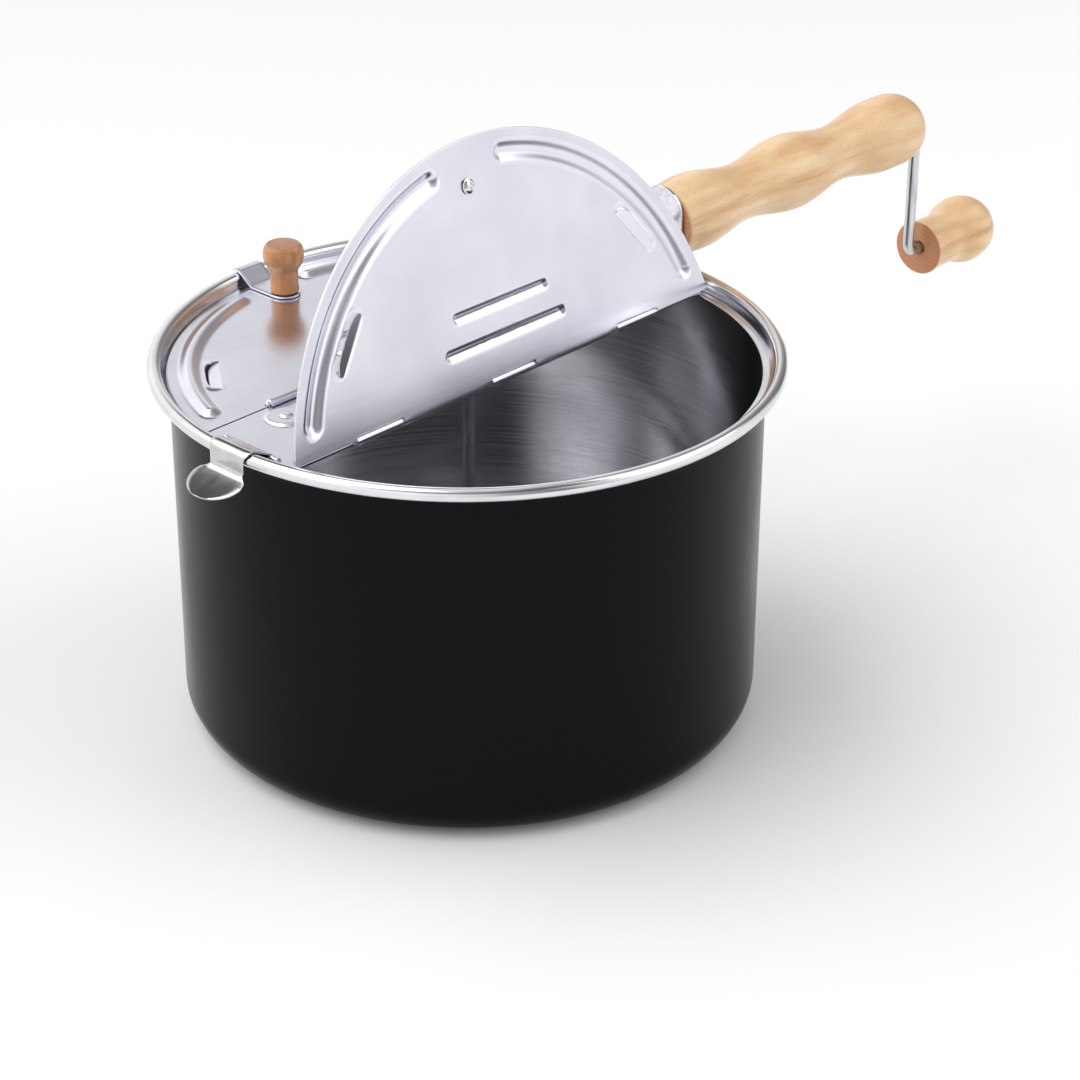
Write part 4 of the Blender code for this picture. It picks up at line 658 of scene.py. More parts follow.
# The tongue cut out of the vent: joined at the inner side and bent down towards the outer one.
def ventTongue(angle):
    tongue = flap["tongue"]
    along = np.linspace(-1, 1, 41) * (flap["slot"]["length"] / 2 - tongue["ends"])
    reach = np.maximum(ventReach(along) - tongue["gap"], 0.6)
    across = -0.35 + (reach[:, None] + 0.35) * np.linspace(0, 1, 15)[None, :]
    plan = ventPlan(angle, across, along[:, None])
    drop = -math.tan(math.radians(tongue["tilt"])) * np.maximum(across, 0)
    return skin(pressedSheet(plan, drop, flap["bottom"] + 0.12, tongue["thickness"], 0.15, 0))


# A knuckle: sheet that comes in flat and a little thinner, rolls once round the pin and stops
# short of itself.
def knuckle(sheetEnd, flatLevel, thickness, width):
    roll = flap["roll"]
    flat = np.array([(sheetEnd, flatLevel), (0.6, flatLevel), (0.3, -roll)])
    line = np.concatenate([flat, arcLine((0, 0), roll, -90, -372, 34)])
    return strip(line, thickness, width / 2, 0.2, 3.0, lambda s, e: np.where(s < 1.3, 0.9, 1.0))


# The flap in its own frame: X along the hinge, Y outwards, Z up from the hinge line. Its rows
# run out from the pot's middle, so that rings and vents follow the grid.
def flapMesh(hand):
    start = math.degrees(math.asin(flap["straight"] / lidPlan["radius"])) + flap["cornerCut"]
    angle = np.radians(np.linspace(start, 180 - start, flap["turns"]))[:, None]
    share = np.linspace(0, 1, flap["rows"])[None, :]
    inner = flap["straight"] / np.sin(angle)
    radius = inner + (lidPlan["radius"] - inner) * share
    x, y = radius * np.cos(angle), radius * np.sin(angle)
    lift = flapLift(x, y, hand)
    plan = np.stack([x, y - lidPlan["hingeY"]], -1)
    grid = pressedSheet(plan, lift, flap["bottom"], flap["thickness"], flap["edge"], 0)
    vent = flap["slot"]
    cutters = []
    for angle in (vent["angle"], 180 - vent["angle"]):
        along = np.linspace(-0.5, 0.5, 37) * vent["length"]
        outer = ventPlan(angle, ventReach(along), along)
        inner = ventPlan(angle, np.zeros(9), np.linspace(0.48, -0.48, 9) * vent["length"])
        cutters.append(cutter(np.concatenate([outer, inner])[::-1], -4, 4))
    knobAt = (hand * flap["knobX"], flap["knobY"] - lidPlan["hingeY"])
    cutters.append(cutter(circleLine(knobAt, 1.9, 24), -4, 4))
    for low, high in ((-85.5, -60.5), (-12.5, 12.5), (60.5, 85.5)):
        box = np.array([(low, -1), (high, -1), (high, 2.3), (low, 2.3)], float)
        cutters.append(cutter(box, -4, 4))
    sheet = carved(toMesh("sheet", [skin(grid)]), cutters)
    low, high = flap["knuckles"]
    rolled = knuckle(2.2, -1.5, 1.05, high - low)
    middle = (low + high) / 2
    curls = [skin(placed(rolled, moved(side * middle, 0, 0, swapXY))) for side in (-1, 1)]
    curls += [ventTongue(angle) for angle in (vent["angle"], 180 - vent["angle"])]
    return joined("flapMesh", [sheet, toMesh("curls", curls)])


leftPlace = moved(0, lidPlan["hingeY"], lidPlan["hingeZ"])
rightPlace = moved(
    0, -lidPlan["hingeY"], lidPlan["hingeZ"],
    Matrix.Rotation(math.pi, 4, "Z") @ Matrix.Rotation(math.radians(openAngle), 4, "X"),
)
for side, place, hand in (("left", leftPlace, 1), ("right", rightPlace, -1)):
    body = side + "_flap"
    mesh = joined("flap", [flapMesh(hand)], place)
    addPiece(body, mesh, "lid", body, side + "FlapSheet")


# ---- bridge strip

bridge = {
    "half": 23.2, "notchHalf": 21.5, "notch": (12.0, 61.0), "corner": 2.5, "thickness": 1.2,
    "boss": (-87.2, 11.8), "bossRadius": 8.8, "bossRise": 0.9, "buttonRadius": 2.8,
    "knuckles": [(61.0, 85.0), (-12.0, 12.0), (-85.0, -61.0)], "pinX": -115.2, "pinZ": 151.55,
    "curl": 1.45, "curlNotch": (113.4, 10.65), "lug": (10.65, 14.65),
}


# The strip seen from above is x = station, y = share * half width, its ends following the
# lid's circle; the boss is two steps with soft shoulders.
def makeBridge():
    low, high = bridge["notch"]
    steps = np.array([-high, -low, low, high])
    bossX, bossY = bridge["boss"]
    endX = math.sqrt(lidPlan["radius"] ** 2 - bridge["half"] ** 2)
    near = np.linspace(104.5, endX, 26)
    middle = [np.linspace(-104, 104, 140), np.linspace(bossX - 10, bossX + 10, 67)]
    body = np.unique(np.concatenate([-near, *middle, steps - 0.02, steps + 0.02, near]))
    inNotch = (np.abs(body) > low) & (np.abs(body) < high)
    half = np.where(inNotch, bridge["notchHalf"], bridge["half"])
    fromEnd = endX - np.abs(body)
    corner = bridge["corner"]
    inCorner = np.clip(corner - fromEnd, 0, corner)
    half = half - (corner - np.sqrt(corner**2 - inCorner**2)) * 0.9
    share = np.linspace(-1, 1, 97)[None, :]
    y = half[:, None] * share
    bulge = np.sqrt(lidPlan["radius"] ** 2 - y**2) - endX
    reach = np.clip((np.abs(body) - 104) / (endX - 104), 0, 1)[:, None]
    x = body[:, None] + np.sign(body)[:, None] * bulge * reach
    away = np.hypot(x - bossX, y - bossY)
    lift = bridge["bossRise"] * smoothFall(np.maximum(away - bridge["bossRadius"] + 1.6, 0), 1.6)
    lift += bridge["bossRise"] * smoothFall(np.maximum(away - bridge["buttonRadius"] + 1.0, 0), 1.0)
    edge = 0.3
    tip = np.clip(edge - fromEnd, 0, edge)
    shrink = (edge - np.sqrt(np.maximum(edge**2 - tip**2, 0)))[:, None]
    bottom = lidPlan["sheetBottom"]
    grid = pressedSheet(np.stack([x, y], -1), lift, bottom, bridge["thickness"], edge, shrink)
    notchX, notchY = bridge["curlNotch"]
    notch = np.array([(-notchX, notchY), (-125, notchY), (-125, -notchY), (-notchX, -notchY)])
    cutters = [cutter(circleLine((0, 0), 4.9), 148, 156), cutter(notch, 148, 156)]
    sheet = carved(toMesh("strip", [skin(grid)]), cutters)
    curls = []
    for left, right in bridge["knuckles"]:
        rolled = knuckle(3.2, -1.46, 1.02, right - left)
        for side in (-1, 1):
            # the roll starts from the strip, so its own Y points back to the middle
            sideways = Matrix(((0, 1, 0, 0), (-side, 0, 0, 0), (0, 0, 1, 0), (0, 0, 0, 1)))
            spot = moved((left + right) / 2, side * lidPlan["hingeY"], lidPlan["hingeZ"], sideways)
            curls.append(skin(placed(rolled, spot)))
    lugLine = arcLine((0, 0), bridge["curl"] - 0.3, -62, 242, 26)
    lugHalf = (bridge["lug"][1] - bridge["lug"][0]) / 2
    for side in (-1, 1):
        spot = moved(bridge["pinX"], side * sum(bridge["lug"]) / 2, bridge["pinZ"])
        curls.append(skin(placed(strip(lugLine, 0.6, lugHalf, 0.18, 2.0), spot)))
    mesh = joined("bridgeStrip", [sheet, toMesh("curls", curls)])
    addPiece("lid_bridge", mesh, "lid", name="bridgeStrip")


makeBridge()


# ---- clips over the rim and the tab under the left knob

clip = {
    "thickness": {"near": 0.6, "far": 0.8}, "half": {"near": 10.3, "far": 11.5}, "neck": 8.8,
    "lobe": 12.8, "gap": 0.4, "leg": 3.7, "flare": 3.5, "flareAngle": 70.0, "lobeLength": 14.0,
    "tailHalf": 8.0, "tailX": (96.7, 112.7), "tailZ": 152.0, "edge": 0.24,
}
beadX, beadZ = pot["rim"] - pot["bead"], pot["height"] - pot["bead"]


# The angle of the normal of the line that touches both circles on their upper side.
def touchAngle(first, firstRadius, bendRadius):
    dx, dz = beadX - first[0], beadZ - first[1]
    lean = math.atan2(dz, dx)
    return math.degrees(lean + math.acos((firstRadius - bendRadius) / math.hypot(dx, dz)))


# From the bead's upper side round it, straight down, and out along the lobe.
def overRim(normal, bendRadius):
    sideX, footZ = beadX + bendRadius, beadZ - clip["leg"]
    over = arcLine((beadX, beadZ), bendRadius, normal, 0, 24)
    turn = clip["flare"]
    flare = arcLine((sideX + turn, footZ), turn, 180, 180 + clip["flareAngle"], 16)
    heading = math.radians(clip["flareAngle"] - 90)
    reach = np.linspace(0, clip["lobeLength"], 30)[1:, None]
    # the lobe's end lifts a little, as a thumb rest does
    curve = np.column_stack([np.cos(heading) * reach, np.sin(heading) * reach + 0.004 * reach**2])
    return np.concatenate([over, flare, flare[-1] + curve]), sideX


# Half width of the strap: straight over the bead, a shallow neck, then a half-round lobe.
def clipHalf(tipX, sideX, tail, middle):
    wideX, tailEnd = sideX + clip["flare"] + 1.2, clip["tailX"][1]
    marks = [tailEnd - 0.6, tailEnd + 0.6, sideX - 1.5, sideX + 0.4, wideX - 2.4, wideX]
    widths = [tail, middle, middle, clip["neck"], clip["lobe"] * 0.93, clip["lobe"]]

    def half(x, z, distance):
        width = np.interp(x, marks, widths)
        return width * roundEnd(x - wideX, tipX - wideX)

    return half


# The near clip: a curl round its pin, then the strap over the rim.
def makeNearClip():
    pin = (-bridge["pinX"], bridge["pinZ"])
    thickness, half = clip["thickness"]["near"], clip["half"]["near"]
    curl = bridge["curl"] - thickness / 2
    bendRadius = pot["bead"] + clip["gap"] + thickness / 2
    normal = touchAngle(pin, curl, bendRadius)
    wrap = arcLine(pin, curl, normal + 262, normal, 34)
    line, sideX = overRim(normal, bendRadius)
    path = np.concatenate([wrap, line])
    grid = strip(path, thickness, clipHalf(line[-1, 0], sideX, half, half), 0.18, 0.5)
    grid = placed(grid, Matrix.Rotation(math.pi, 4, "Z"))
    addPiece("near_clip", [skin(grid)], "clip", "near_clip")


# The far clip: the same strap, held to the bridge by a narrower riveted tail.
def makeFarClip():
    tailStart, tailEnd = clip["tailX"]
    thickness = clip["thickness"]["far"]
    bendRadius = pot["bead"] + clip["gap"] + thickness / 2
    normal = touchAngle((tailEnd, clip["tailZ"]), 0.0, bendRadius)
    line, sideX = overRim(normal, bendRadius)
    tail = [(tailStart, clip["tailZ"]), (tailEnd - 0.4, clip["tailZ"]), line[0]]
    tail = softCorners(tail, 0.8, 5)
    path = np.concatenate([tail[:-1], line])
    halfWidth = clipHalf(line[-1, 0], sideX, clip["tailHalf"], clip["half"]["far"])
    grid = strip(path, thickness, halfWidth, clip["edge"], 0.5)
    addPiece("far_clip", [skin(grid)], "clip")


makeNearClip()
makeFarClip()

tab = {
    "thickness": 0.8, "half": 6.6, "flatZ": 151.8, "overZ": 157.0, "climbAt": 116.0, "end": 126.3
}


# The tab: a strip with a round inner end, flat under the knob, up a slope and over the bead.
def makeTab():
    start, flatZ, overZ = flap["knobY"] - tab["half"], tab["flatZ"], tab["overZ"]
    line = [(start, flatZ), (tab["climbAt"] - 0.6, flatZ), (beadX - 1.7, overZ)]
    line = softCorners(line + [(beadX + 0.6, overZ), (tab["end"], overZ - 0.6)], [1.2, 1.8, 1.2], 8)

    def half(x, z, distance):
        outer = np.clip((distance - 32.6) / 1.6, 0, 1)
        return tab["half"] * roundEnd(tab["half"] - distance, tab["half"]) - 0.6 * outer**2

    grid = strip(line, tab["thickness"], half, 0.24, 0.6)
    grid = placed(grid, moved(flap["knobX"], 0, 0, swapXY))
    addPiece("left_rim_tab", [skin(grid)], "lid", "left_flap", "rimTab")


makeTab()


# ---- lid knobs, their screws and washer

lidKnob = {
    "height": 21.0, "ball": 8.6, "ballDrop": 4.5, "neck": 5.9, "groove": 0.25, "seat": 0.4,
    "screw": 1.6, "head": 3.2, "headHeight": 1.7, "washer": (1.9, 7.0, 0.8),
}


# Down from a flat top with a fine turned line, round the ball, into the neck and foot.
def knobProfile():
    high, radius, neck = lidKnob["height"], lidKnob["ball"], lidKnob["neck"]
    topTurn = math.degrees(math.asin((lidKnob["ballDrop"] - 0.7) / radius))
    lowTurn = -math.degrees(math.acos((neck + 0.3) / radius))
    edge = radius * 0.8
    ball = arcLine((0, high - lidKnob["ballDrop"]), radius, topTurn - 3, lowTurn, 22)
    groove = [(edge - 1.0, high), (edge - 0.75, high - lidKnob["groove"]), (edge - 0.5, high)]
    top = [(0, high), *groove, (edge, high - 0.02), ball[0]]
    foot = [ball[-1], (neck, ball[-1][1] - 1.3), (neck - 0.1, 3.0), (neck + 0.2, 0.7)]
    foot = softCorners(foot + [(neck - 0.5, 0.0), (0, 0)], [1.2, 3.0, 0.5, 0.2], 5)
    return np.concatenate([softCorners(top, [0.06, 0.06, 0.06, 0.5], 5)[:-1], ball, foot[1:]])


# A screw: tip, straight shank, and a domed head with a cross recess cut in from below.
def knobScrewMesh():
    head = flap["bottom"] - 0.3
    bottom = head - lidKnob["headHeight"]
    tip = lidKnob["seat"] + 13.0
    dome = arcLine((0, bottom + 4.2), 4.2, -47, -90, 12)
    shank, reach = lidKnob["screw"], lidKnob["head"]
    upper = [(0, tip), (shank - 1.0, tip), (shank, tip - 2.0), (shank, head), (reach - 0.15, head)]
    profile = np.concatenate([upper, [(reach, head - 0.15), (reach, head - 0.5)], dome])
    mesh = toMesh("screw", [skin(revolve(profile, 40))])
    return carved(mesh, crossCutters(1.7, 0.42, bottom - 0.5, bottom + 0.75))


# Two crossed slots as one cutter outline: a quarter of it, turned four times.
def crossCutters(reach, half, low, high):
    quarter = np.array([(reach, -half), (reach, half), (half, half)])
    turn = np.array([(0, 1), (-1, 0)])
    outline = [quarter, quarter @ turn, -quarter, -quarter @ turn]
    return [cutter(np.concatenate(outline), low, high)]


def makeKnobs():
    knob = toMesh("knob", [skin(revolve(knobProfile(), 72))])
    screw = knobScrewMesh()
    reach = flap["knobY"] - lidPlan["hingeY"]
    for side, place, hand in (("left", leftPlace, 1), ("right", rightPlace, -1)):
        knobX = hand * flap["knobX"]
        spot = place @ moved(knobX, reach, lidKnob["seat"])
        centre = tuple(spot.translation)
        turn = tuple(math.degrees(angle) for angle in spot.to_euler())
        wood = turnedBeech(f"turned beech {side} knob", redTones, centre, turn)
        body = side + "_flap"
        mesh = joined("knob", [knob], spot)
        addPiece(side + "_knob", mesh, "knob_wood", body, materials=[wood])
        mesh = joined("screw", [screw], place @ moved(knobX, reach, 0))
        addPiece(side + "_knob_screw", mesh, "steel", body)
    bore, outer, high = lidKnob["washer"]
    start = (bore, high / 2)
    section = [start, (bore, high), (outer, high), (outer, 0), (bore, 0), start]
    washer = softCorners(section, 0.15, 4)
    spot = rightPlace @ moved(knobX, reach, flap["bottom"] + flap["thickness"] + 0.3)
    mesh = joined("washer", [toMesh("washer", [skin(revolve(washer[:-1], 48), ring=True)])], spot)
    addPiece("right_knob_washer", mesh, "steel", "right_flap", "rightWasher")


makeKnobs()


# ---- handle bracket, its rivets and screws

bracket = {
    "thickness": 1.5, "outerX": 117.1, "top": 11.5, "rise": 5.0, "foot": 18.5, "window": 12.2,
    "sill": 160.1, "shoulder": (161.1, 163.6), "footStart": 98.1, "footZ": 152.35, "bend": 1.0,
}


# The upright is one strip with a round top; two narrow legs run down into it and turn inwards
# as feet either side of the clip.
def makeBracket():
    middleX = bracket["outerX"] - bracket["thickness"] / 2
    capZ = handleZ + bracket["rise"]
    topZ = capZ + bracket["top"]
    upLine = np.array([(middleX, bracket["sill"]), (middleX, topZ)])

    def half(x, z, distance):
        width = np.interp(z, bracket["shoulder"], [bracket["foot"], bracket["top"]])
        return width * roundEnd(z - capZ, bracket["top"])

    upright = skin(strip(upLine, bracket["thickness"], half, 0.3, 0.45))
    bend = bracket["bend"] + bracket["thickness"] / 2
    footZ = bracket["footZ"]
    legLine = [(bracket["footStart"], footZ), (middleX, footZ), (middleX, bracket["sill"] + 1.5)]
    legLine = softCorners(legLine, bend, 9)
    legHalf = (bracket["foot"] - bracket["window"]) / 2 - 0.01
    thin = lambda s, e: np.where(e < 1.6, 0.95, 1.0)
    leg = strip(legLine, bracket["thickness"], legHalf, 0.3, 0.8, thin)
    middle = (bracket["foot"] + bracket["window"]) / 2
    parts = [skin(placed(leg, moved(0, side * middle, 0))) for side in (-1, 1)]
    holes = [cutter(circleLine((0, handleZ), 3.2), 113, 119, alongX)]
    plate = carved(toMesh("upright", [upright]), holes)
    mesh = joined("handleBracket", [plate, toMesh("legs", parts)])
    addPiece("handle_bracket", mesh, "steel")


makeBracket()

rivet = {"shank": 1.4, "head": 2.4, "headHeight": 1.2, "foot": 2.2, "footHeight": 0.8}


# A rivet: a low dome above, a straight shank and a flattened foot below.
def rivetMesh(sheet):
    top = bridge["thickness"] + 0.3 + sheet + 0.3
    dome = domeLine(rivet["head"], rivet["headHeight"], top + rivet["headHeight"], 12)
    reach, low = rivet["foot"], -0.3 - rivet["footHeight"]
    foot = [(rivet["shank"], -0.3), (reach, -0.3), (reach * 0.82, low), (0, low)]
    foot = softCorners(foot, 0.15, 4)
    profile = np.concatenate([dome, [(rivet["shank"], top)], foot])
    return toMesh("rivet", [skin(revolve(profile, 36))])


rivets = {
    "far_clip_rivet_inner": (100.9, 0.0, 0.8), "far_clip_rivet_outer": (108.5, 0.0, 0.8),
    "bracket_rivet_left": (105.0, 15.35, 1.5), "bracket_rivet_right": (105.0, -15.35, 1.5),
    "gear_bracket_rivet_back": (None, 0.0, 1.2), "gear_bracket_rivet_front": (None, 0.0, 1.2),
}
for node, (x, y, sheet) in rivets.items():
    if x is None:
        low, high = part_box(node)
        x = (low.x + high.x) / 2 / mm
    mesh = joined("rivet", [rivetMesh(sheet)], moved(x, y, lidPlan["sheetBottom"]))
    addPiece(node, mesh, "steel")

handleScrew = {
    "y": 6.8, "z": 174.2, "head": 2.6, "headHeight": 1.6, "shank": 1.5, "length": 20.0,
    "startX": 117.4
}


# A round-head wood screw: pointed tip, threaded shank as small rings, dome with a cross.
def makeHandleScrews():
    seat = -bracket["thickness"] - 0.6
    headTop = seat - handleScrew["headHeight"]
    turns = np.linspace(0, 1, 70)
    threadZ = 2.0 + turns * (handleScrew["length"] - 4.5)
    thread = handleScrew["shank"] - 0.16 + 0.16 * np.cos(turns * 2 * np.pi * 17)
    shank = np.column_stack([thread, threadZ])[::-1]
    dome = domeLine(handleScrew["head"], handleScrew["headHeight"], headTop, 14, -1)[::-1]
    tip = [(0, handleScrew["length"]), (0.5, handleScrew["length"] - 0.4)]
    profile = np.concatenate([tip, shank, [(handleScrew["shank"], seat)], dome])
    mesh = toMesh("screw", [skin(revolve(profile, 36))])
    mesh = carved(mesh, crossCutters(1.35, 0.34, headTop - 0.5, headTop + 0.8))
    for side, sign in (("left", 1), ("right", -1)):
        spot = moved(handleScrew["startX"], sign * handleScrew["y"], handleScrew["z"], alongX)
        piece = joined("screw", [mesh], spot)
        addPiece("handle_screw_" + side, piece, "steel", name=side + "HandleScrew")


makeHandleScrews()


# ---- grip, crank rod and crank knob

grip = {
    "startX": 117.4, "length": 169.5, "mean": 14.5, "wave": 2.0, "pitch": 65.0, "crest": 16.6,
    "hold": 6.0, "endRound": 14.5, "endRadius": 8.5, "chamfer": 1.2, "bore": 2.8,
}


# Radius = mean + wave * cos(2 pi (x - crest) / pitch), held level at the bracket end and past
# the last crest, and drawn in by a quarter of an ellipse at the far end.
def makeGrip():
    straight = grip["length"] - grip["endRound"]
    chamfer, pitch, crest = grip["chamfer"], grip["pitch"], grip["crest"]
    end = straight + grip["endRound"] * np.sin(np.radians(np.linspace(3, 90, 30)))
    x = np.concatenate([np.linspace(chamfer, straight, 230), end])
    waving = np.clip(x, grip["hold"], crest + 2 * pitch)
    radius = grip["mean"] + grip["wave"] * np.cos(2 * np.pi * (waving - crest) / pitch)
    fall = roundEnd(x - straight, grip["endRound"])
    radius = grip["endRadius"] + (radius - grip["endRadius"]) * fall
    outer = np.column_stack([radius, x])
    near = arcLine((radius[0] - chamfer, chamfer), chamfer, -90, -12, 8)
    bore = np.array([(grip["bore"], grip["length"]), (grip["bore"], 0.4), (grip["bore"] + 0.4, 0)])
    profile = np.concatenate([near, outer, bore])
    grid = placed(revolve(profile, 112), moved(grip["startX"], 0, handleZ, alongX))
    shape = [skin(grid, ring=True)]
    addPiece("handle_grip", shape, "wood", materials=[gripWood], sharpAngle=60)


makeGrip()

crank = {
    "radius": 2.5, "startX": -15.7, "armX": 295.1, "bend": 5.0, "kneeZ": 109.2, "knobX": 303.3,
    "knobLength": 49.8, "ballLength": 33.5, "ball": 15.9, "face": 13.0, "neck": 12.1, "fade": 3.5,
    "hold": 16.5, "boreDepth": 34.0, "recess": (3.6, 1.5), "bore": 2.8,
}


# The rod: straight through the grip, a bend down, the arm, a bend out into the knob.
def makeRod():
    armX, kneeZ, endX = crank["armX"], crank["kneeZ"], crank["knobX"] + crank["boreDepth"] - 1.0
    path = [(crank["startX"], handleZ), (armX, handleZ), (armX, kneeZ), (endX, kneeZ)]
    path = softCorners(path, crank["bend"], 18)
    grid = roundBar(path, crank["radius"], 0.5, 6.0, 32)
    addPiece("crank_rod", [skin(grid)], "rod", "crank")


# The knob's radius is the fifth-power blend of an oval ball and a neck that flares to the
# face and fades out as a cosine inside the ball, so that no crease is left between them.
def makeCrankKnob():
    half = crank["ballLength"] / 2
    ballX = crank["knobLength"] - half
    x = crank["knobLength"] * (1 - np.linspace(0, 1, 110) ** 1.9)
    ball = crank["ball"] * np.sqrt(np.maximum(0, 1 - ((x - ballX) / half) ** 2))
    neck = crank["neck"] + (crank["face"] - crank["neck"]) * np.exp(-x / crank["fade"])
    neck = neck * np.cos(np.pi / 2 * np.clip((x - crank["hold"]) / (ballX - crank["hold"]), 0, 1))
    radius = (neck**5 + ball**5) ** 0.2
    outer = np.column_stack([radius, x])
    outer = outer[x > 0.7]
    (deep, depth), bore, end = crank["recess"], crank["bore"], crank["boreDepth"]
    face = [outer[-1], (crank["face"] - 0.05, 0.0), (deep, 0.0), (deep, depth)]
    face += [(bore, depth), (bore, end), (0, end)]
    face = softCorners(face, [0.6, 0.3, 0.1, 0.1, 0.1], 5)
    profile = np.concatenate([outer, face[1:]])
    grid = placed(revolve(profile, 96), moved(crank["knobX"], 0, crank["kneeZ"], alongX))
    finish = {"materials": [crankWood], "sharpAngle": 50}
    addPiece("crank_knob", [skin(grid)], "wood", "crank_knob", **finish)


makeRod()
makeCrankKnob()


# ---- gears, gear bracket, bush and rings

gear = {
    "teeth": 12, "pitch": 10.0, "addendum": 1.0, "dedendum": 1.35, "share": 0.38, "face": 4.0,
    "hub": 5.2, "bore": 2.75, "driveHub": 6.4,
}


# A bevel gear with its cone's point at 0: the tooth outline in polar form (root, flank, tip,
# flank) shrinks towards the point, and circles of the same count make the hub and the bore.
def gearGrid(firstTooth, hubLength):
    bore, pitch, hub = gear["bore"], gear["pitch"], gear["hub"]
    cone = math.hypot(pitch, pitch)
    tip = pitch * math.tan(math.pi / 4 + gear["addendum"] / cone)
    root = pitch * math.tan(math.pi / 4 - gear["dedendum"] / cone)
    step = 2 * np.pi / gear["teeth"]
    half = pitch * step * gear["share"] / 2
    slope = math.tan(math.radians(20))
    tipHalf = (half - (tip - pitch) * slope) / tip
    rootHalf = (half + (pitch - root) * slope) / root
    gap = (step / 2 + rootHalf) / 2
    # points bunch on the flanks so that tips and roots keep crisp corners
    flank = np.linspace(0, 1, 5)
    rise, fall = rootHalf + (tipHalf - rootHalf) * flank, tipHalf + (rootHalf - tipHalf) * flank
    offsets = [[-step / 2, -gap], -rise, [-tipHalf / 2, 0, tipHalf / 2], fall, [gap]]
    radii = [[root] * 2, root + (tip - root) * flank, [tip] * 3, tip + (root - tip) * flank, [root]]
    middles = firstTooth + np.arange(gear["teeth"]) * step
    angle = (middles[:, None] + np.concatenate(offsets)[None, :]).reshape(-1)
    outline = np.tile(np.concatenate(radii), gear["teeth"])
    small = 1 - gear["face"] / pitch
    hubTop = pitch + hubLength
    loops = [(bore, pitch * small + 0.2), (bore + 0.2, pitch * small)]
    for size, edge in ((small, 0.985), (small + 0.012, 1.0), (0.988, 1.0), (1.0, 0.985)):
        loops.append((outline * size * edge, pitch * size))
    loops += [(hub + 0.4, pitch), (hub, pitch + 0.4), (hub, hubTop - 0.3), (hub - 0.3, hubTop)]
    loops += [(bore + 0.2, hubTop), (bore, hubTop - 0.2)]
    rows = [(radius * np.cos(angle), radius * np.sin(angle), height) for radius, height in loops]
    return np.stack([np.stack(np.broadcast_arrays(*row), -1) for row in rows])


def makeGears():
    low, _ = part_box("stirrer_gear")
    hub = handleZ - gear["pitch"] - low.z / mm
    drive = gearGrid(0.0, gear["driveHub"]), Matrix.Rotation(math.pi / 2, 4, "Y")
    driven = gearGrid(math.pi / gear["teeth"], hub), Matrix.Rotation(math.pi, 4, "X")
    bodies = {"drive_gear": (*drive, "crank"), "stirrer_gear": (*driven, "stirrer")}
    for node, (grid, turn, body) in bodies.items():
        shape = [skin(placed(grid, moved(0, 0, handleZ, turn)), ring=True)]
        addPiece(node, shape, "gear", body, sharpAngle=30)


makeGears()

gearBracket = {
    "thickness": 1.2, "half": 9.0, "innerX": -14.1, "outerX": 17.3, "baseZ": 152.2, "bend": 1.6
}


# A U of sheet: up one ear, across the bridge and up the other, both ears with round tops.
def makeGearBracket():
    topZ, baseZ = handleZ + gearBracket["half"], gearBracket["baseZ"]
    inner, outer = gearBracket["innerX"], gearBracket["outerX"]
    line = [(inner, topZ), (inner, baseZ), (outer, baseZ), (outer, topZ)]
    line = softCorners(line, gearBracket["bend"], 10)

    def half(x, z, distance):
        return gearBracket["half"] * roundEnd(z - handleZ, gearBracket["half"])

    mesh = toMesh("gearBracket", [skin(strip(line, gearBracket["thickness"], half, 0.28, 0.45))])
    holes = [
        cutter(circleLine((0, 0), 4.9), 150, 155),
        cutter(circleLine((0, handleZ), 2.8), -20, 24, alongX),
    ]
    addPiece("gear_bracket", carved(mesh, holes), "steel", name="gearBracketSheet")


makeGearBracket()


# Rings and bush: a closed section with soft corners turned about its axis, as (name, section,
# corner radii, slot, body, place).
bush = [(2.8, 154.3), (6.0, 154.3), (6.0, 153.1), (4.6, 153.1), (4.6, 149.3), (2.8, 149.3)]
keeper = [(2.75, 1.2), (5.0, 1.2), (5.0, 0.0), (2.75, 0.0)]
onRod, onShaft = moved(-13.2, 0, handleZ, alongX), moved(0, 0, 147.8)
rings = {
    "shaft_bushing": ("shaftBush", bush, [0.3, 0.3, 0.2, 0.2, 0.3, 0.3], "bush", "lid", Matrix()),
    "crank_retaining_ring": ("crankRing", keeper, 0.25, "steel", "crank", onRod),
    "shaft_retaining_ring": ("shaftRing", keeper, 0.25, "steel", "stirrer", onShaft),
}
for node, (name, section, radii, slotName, body, place) in rings.items():
    middle = (np.array(section[0]) + section[-1]) / 2
    closed = softCorners([middle, *section, middle], radii, 4)[:-1]
    grid = placed(revolve(closed, 56), place)
    addPiece(node, [skin(grid, ring=True)], slotName, body, name)

# Chamfered pins, as (middle, radius, half length, direction)
alongY = Matrix.Rotation(-math.pi / 2, 4, "X")
pins = {
    "left_hinge_pin": ((0, 23.8, 152.1), 0.7, 86.0, alongX),
    "right_hinge_pin": ((0, -23.8, 152.1), 0.7, 86.0, alongX),
    "near_clip_pin": ((-115.2, 0, 151.55), 0.65, 14.95, alongY),
}
for node, (centre, radius, reach, turn) in pins.items():
    upper = np.array([(0, reach), (radius * 0.6, reach), (radius, reach - 0.4)])
    profile = np.concatenate([upper, upper[::-1] * [1, -1]])
    grid = placed(revolve(profile, 20), moved(*centre, turn))
    addPiece(node, [skin(grid)], "steel", materials=[rodMetal])


# ---- stirrer

stirrer = {
    "shaft": 2.5, "top": 170.9, "bottom": 2.2, "wire": 1.5, "wireZ": 5.0, "reach": 107.1,
    "turn": 7.0, "back": 56.0, "angle": 24.0
}


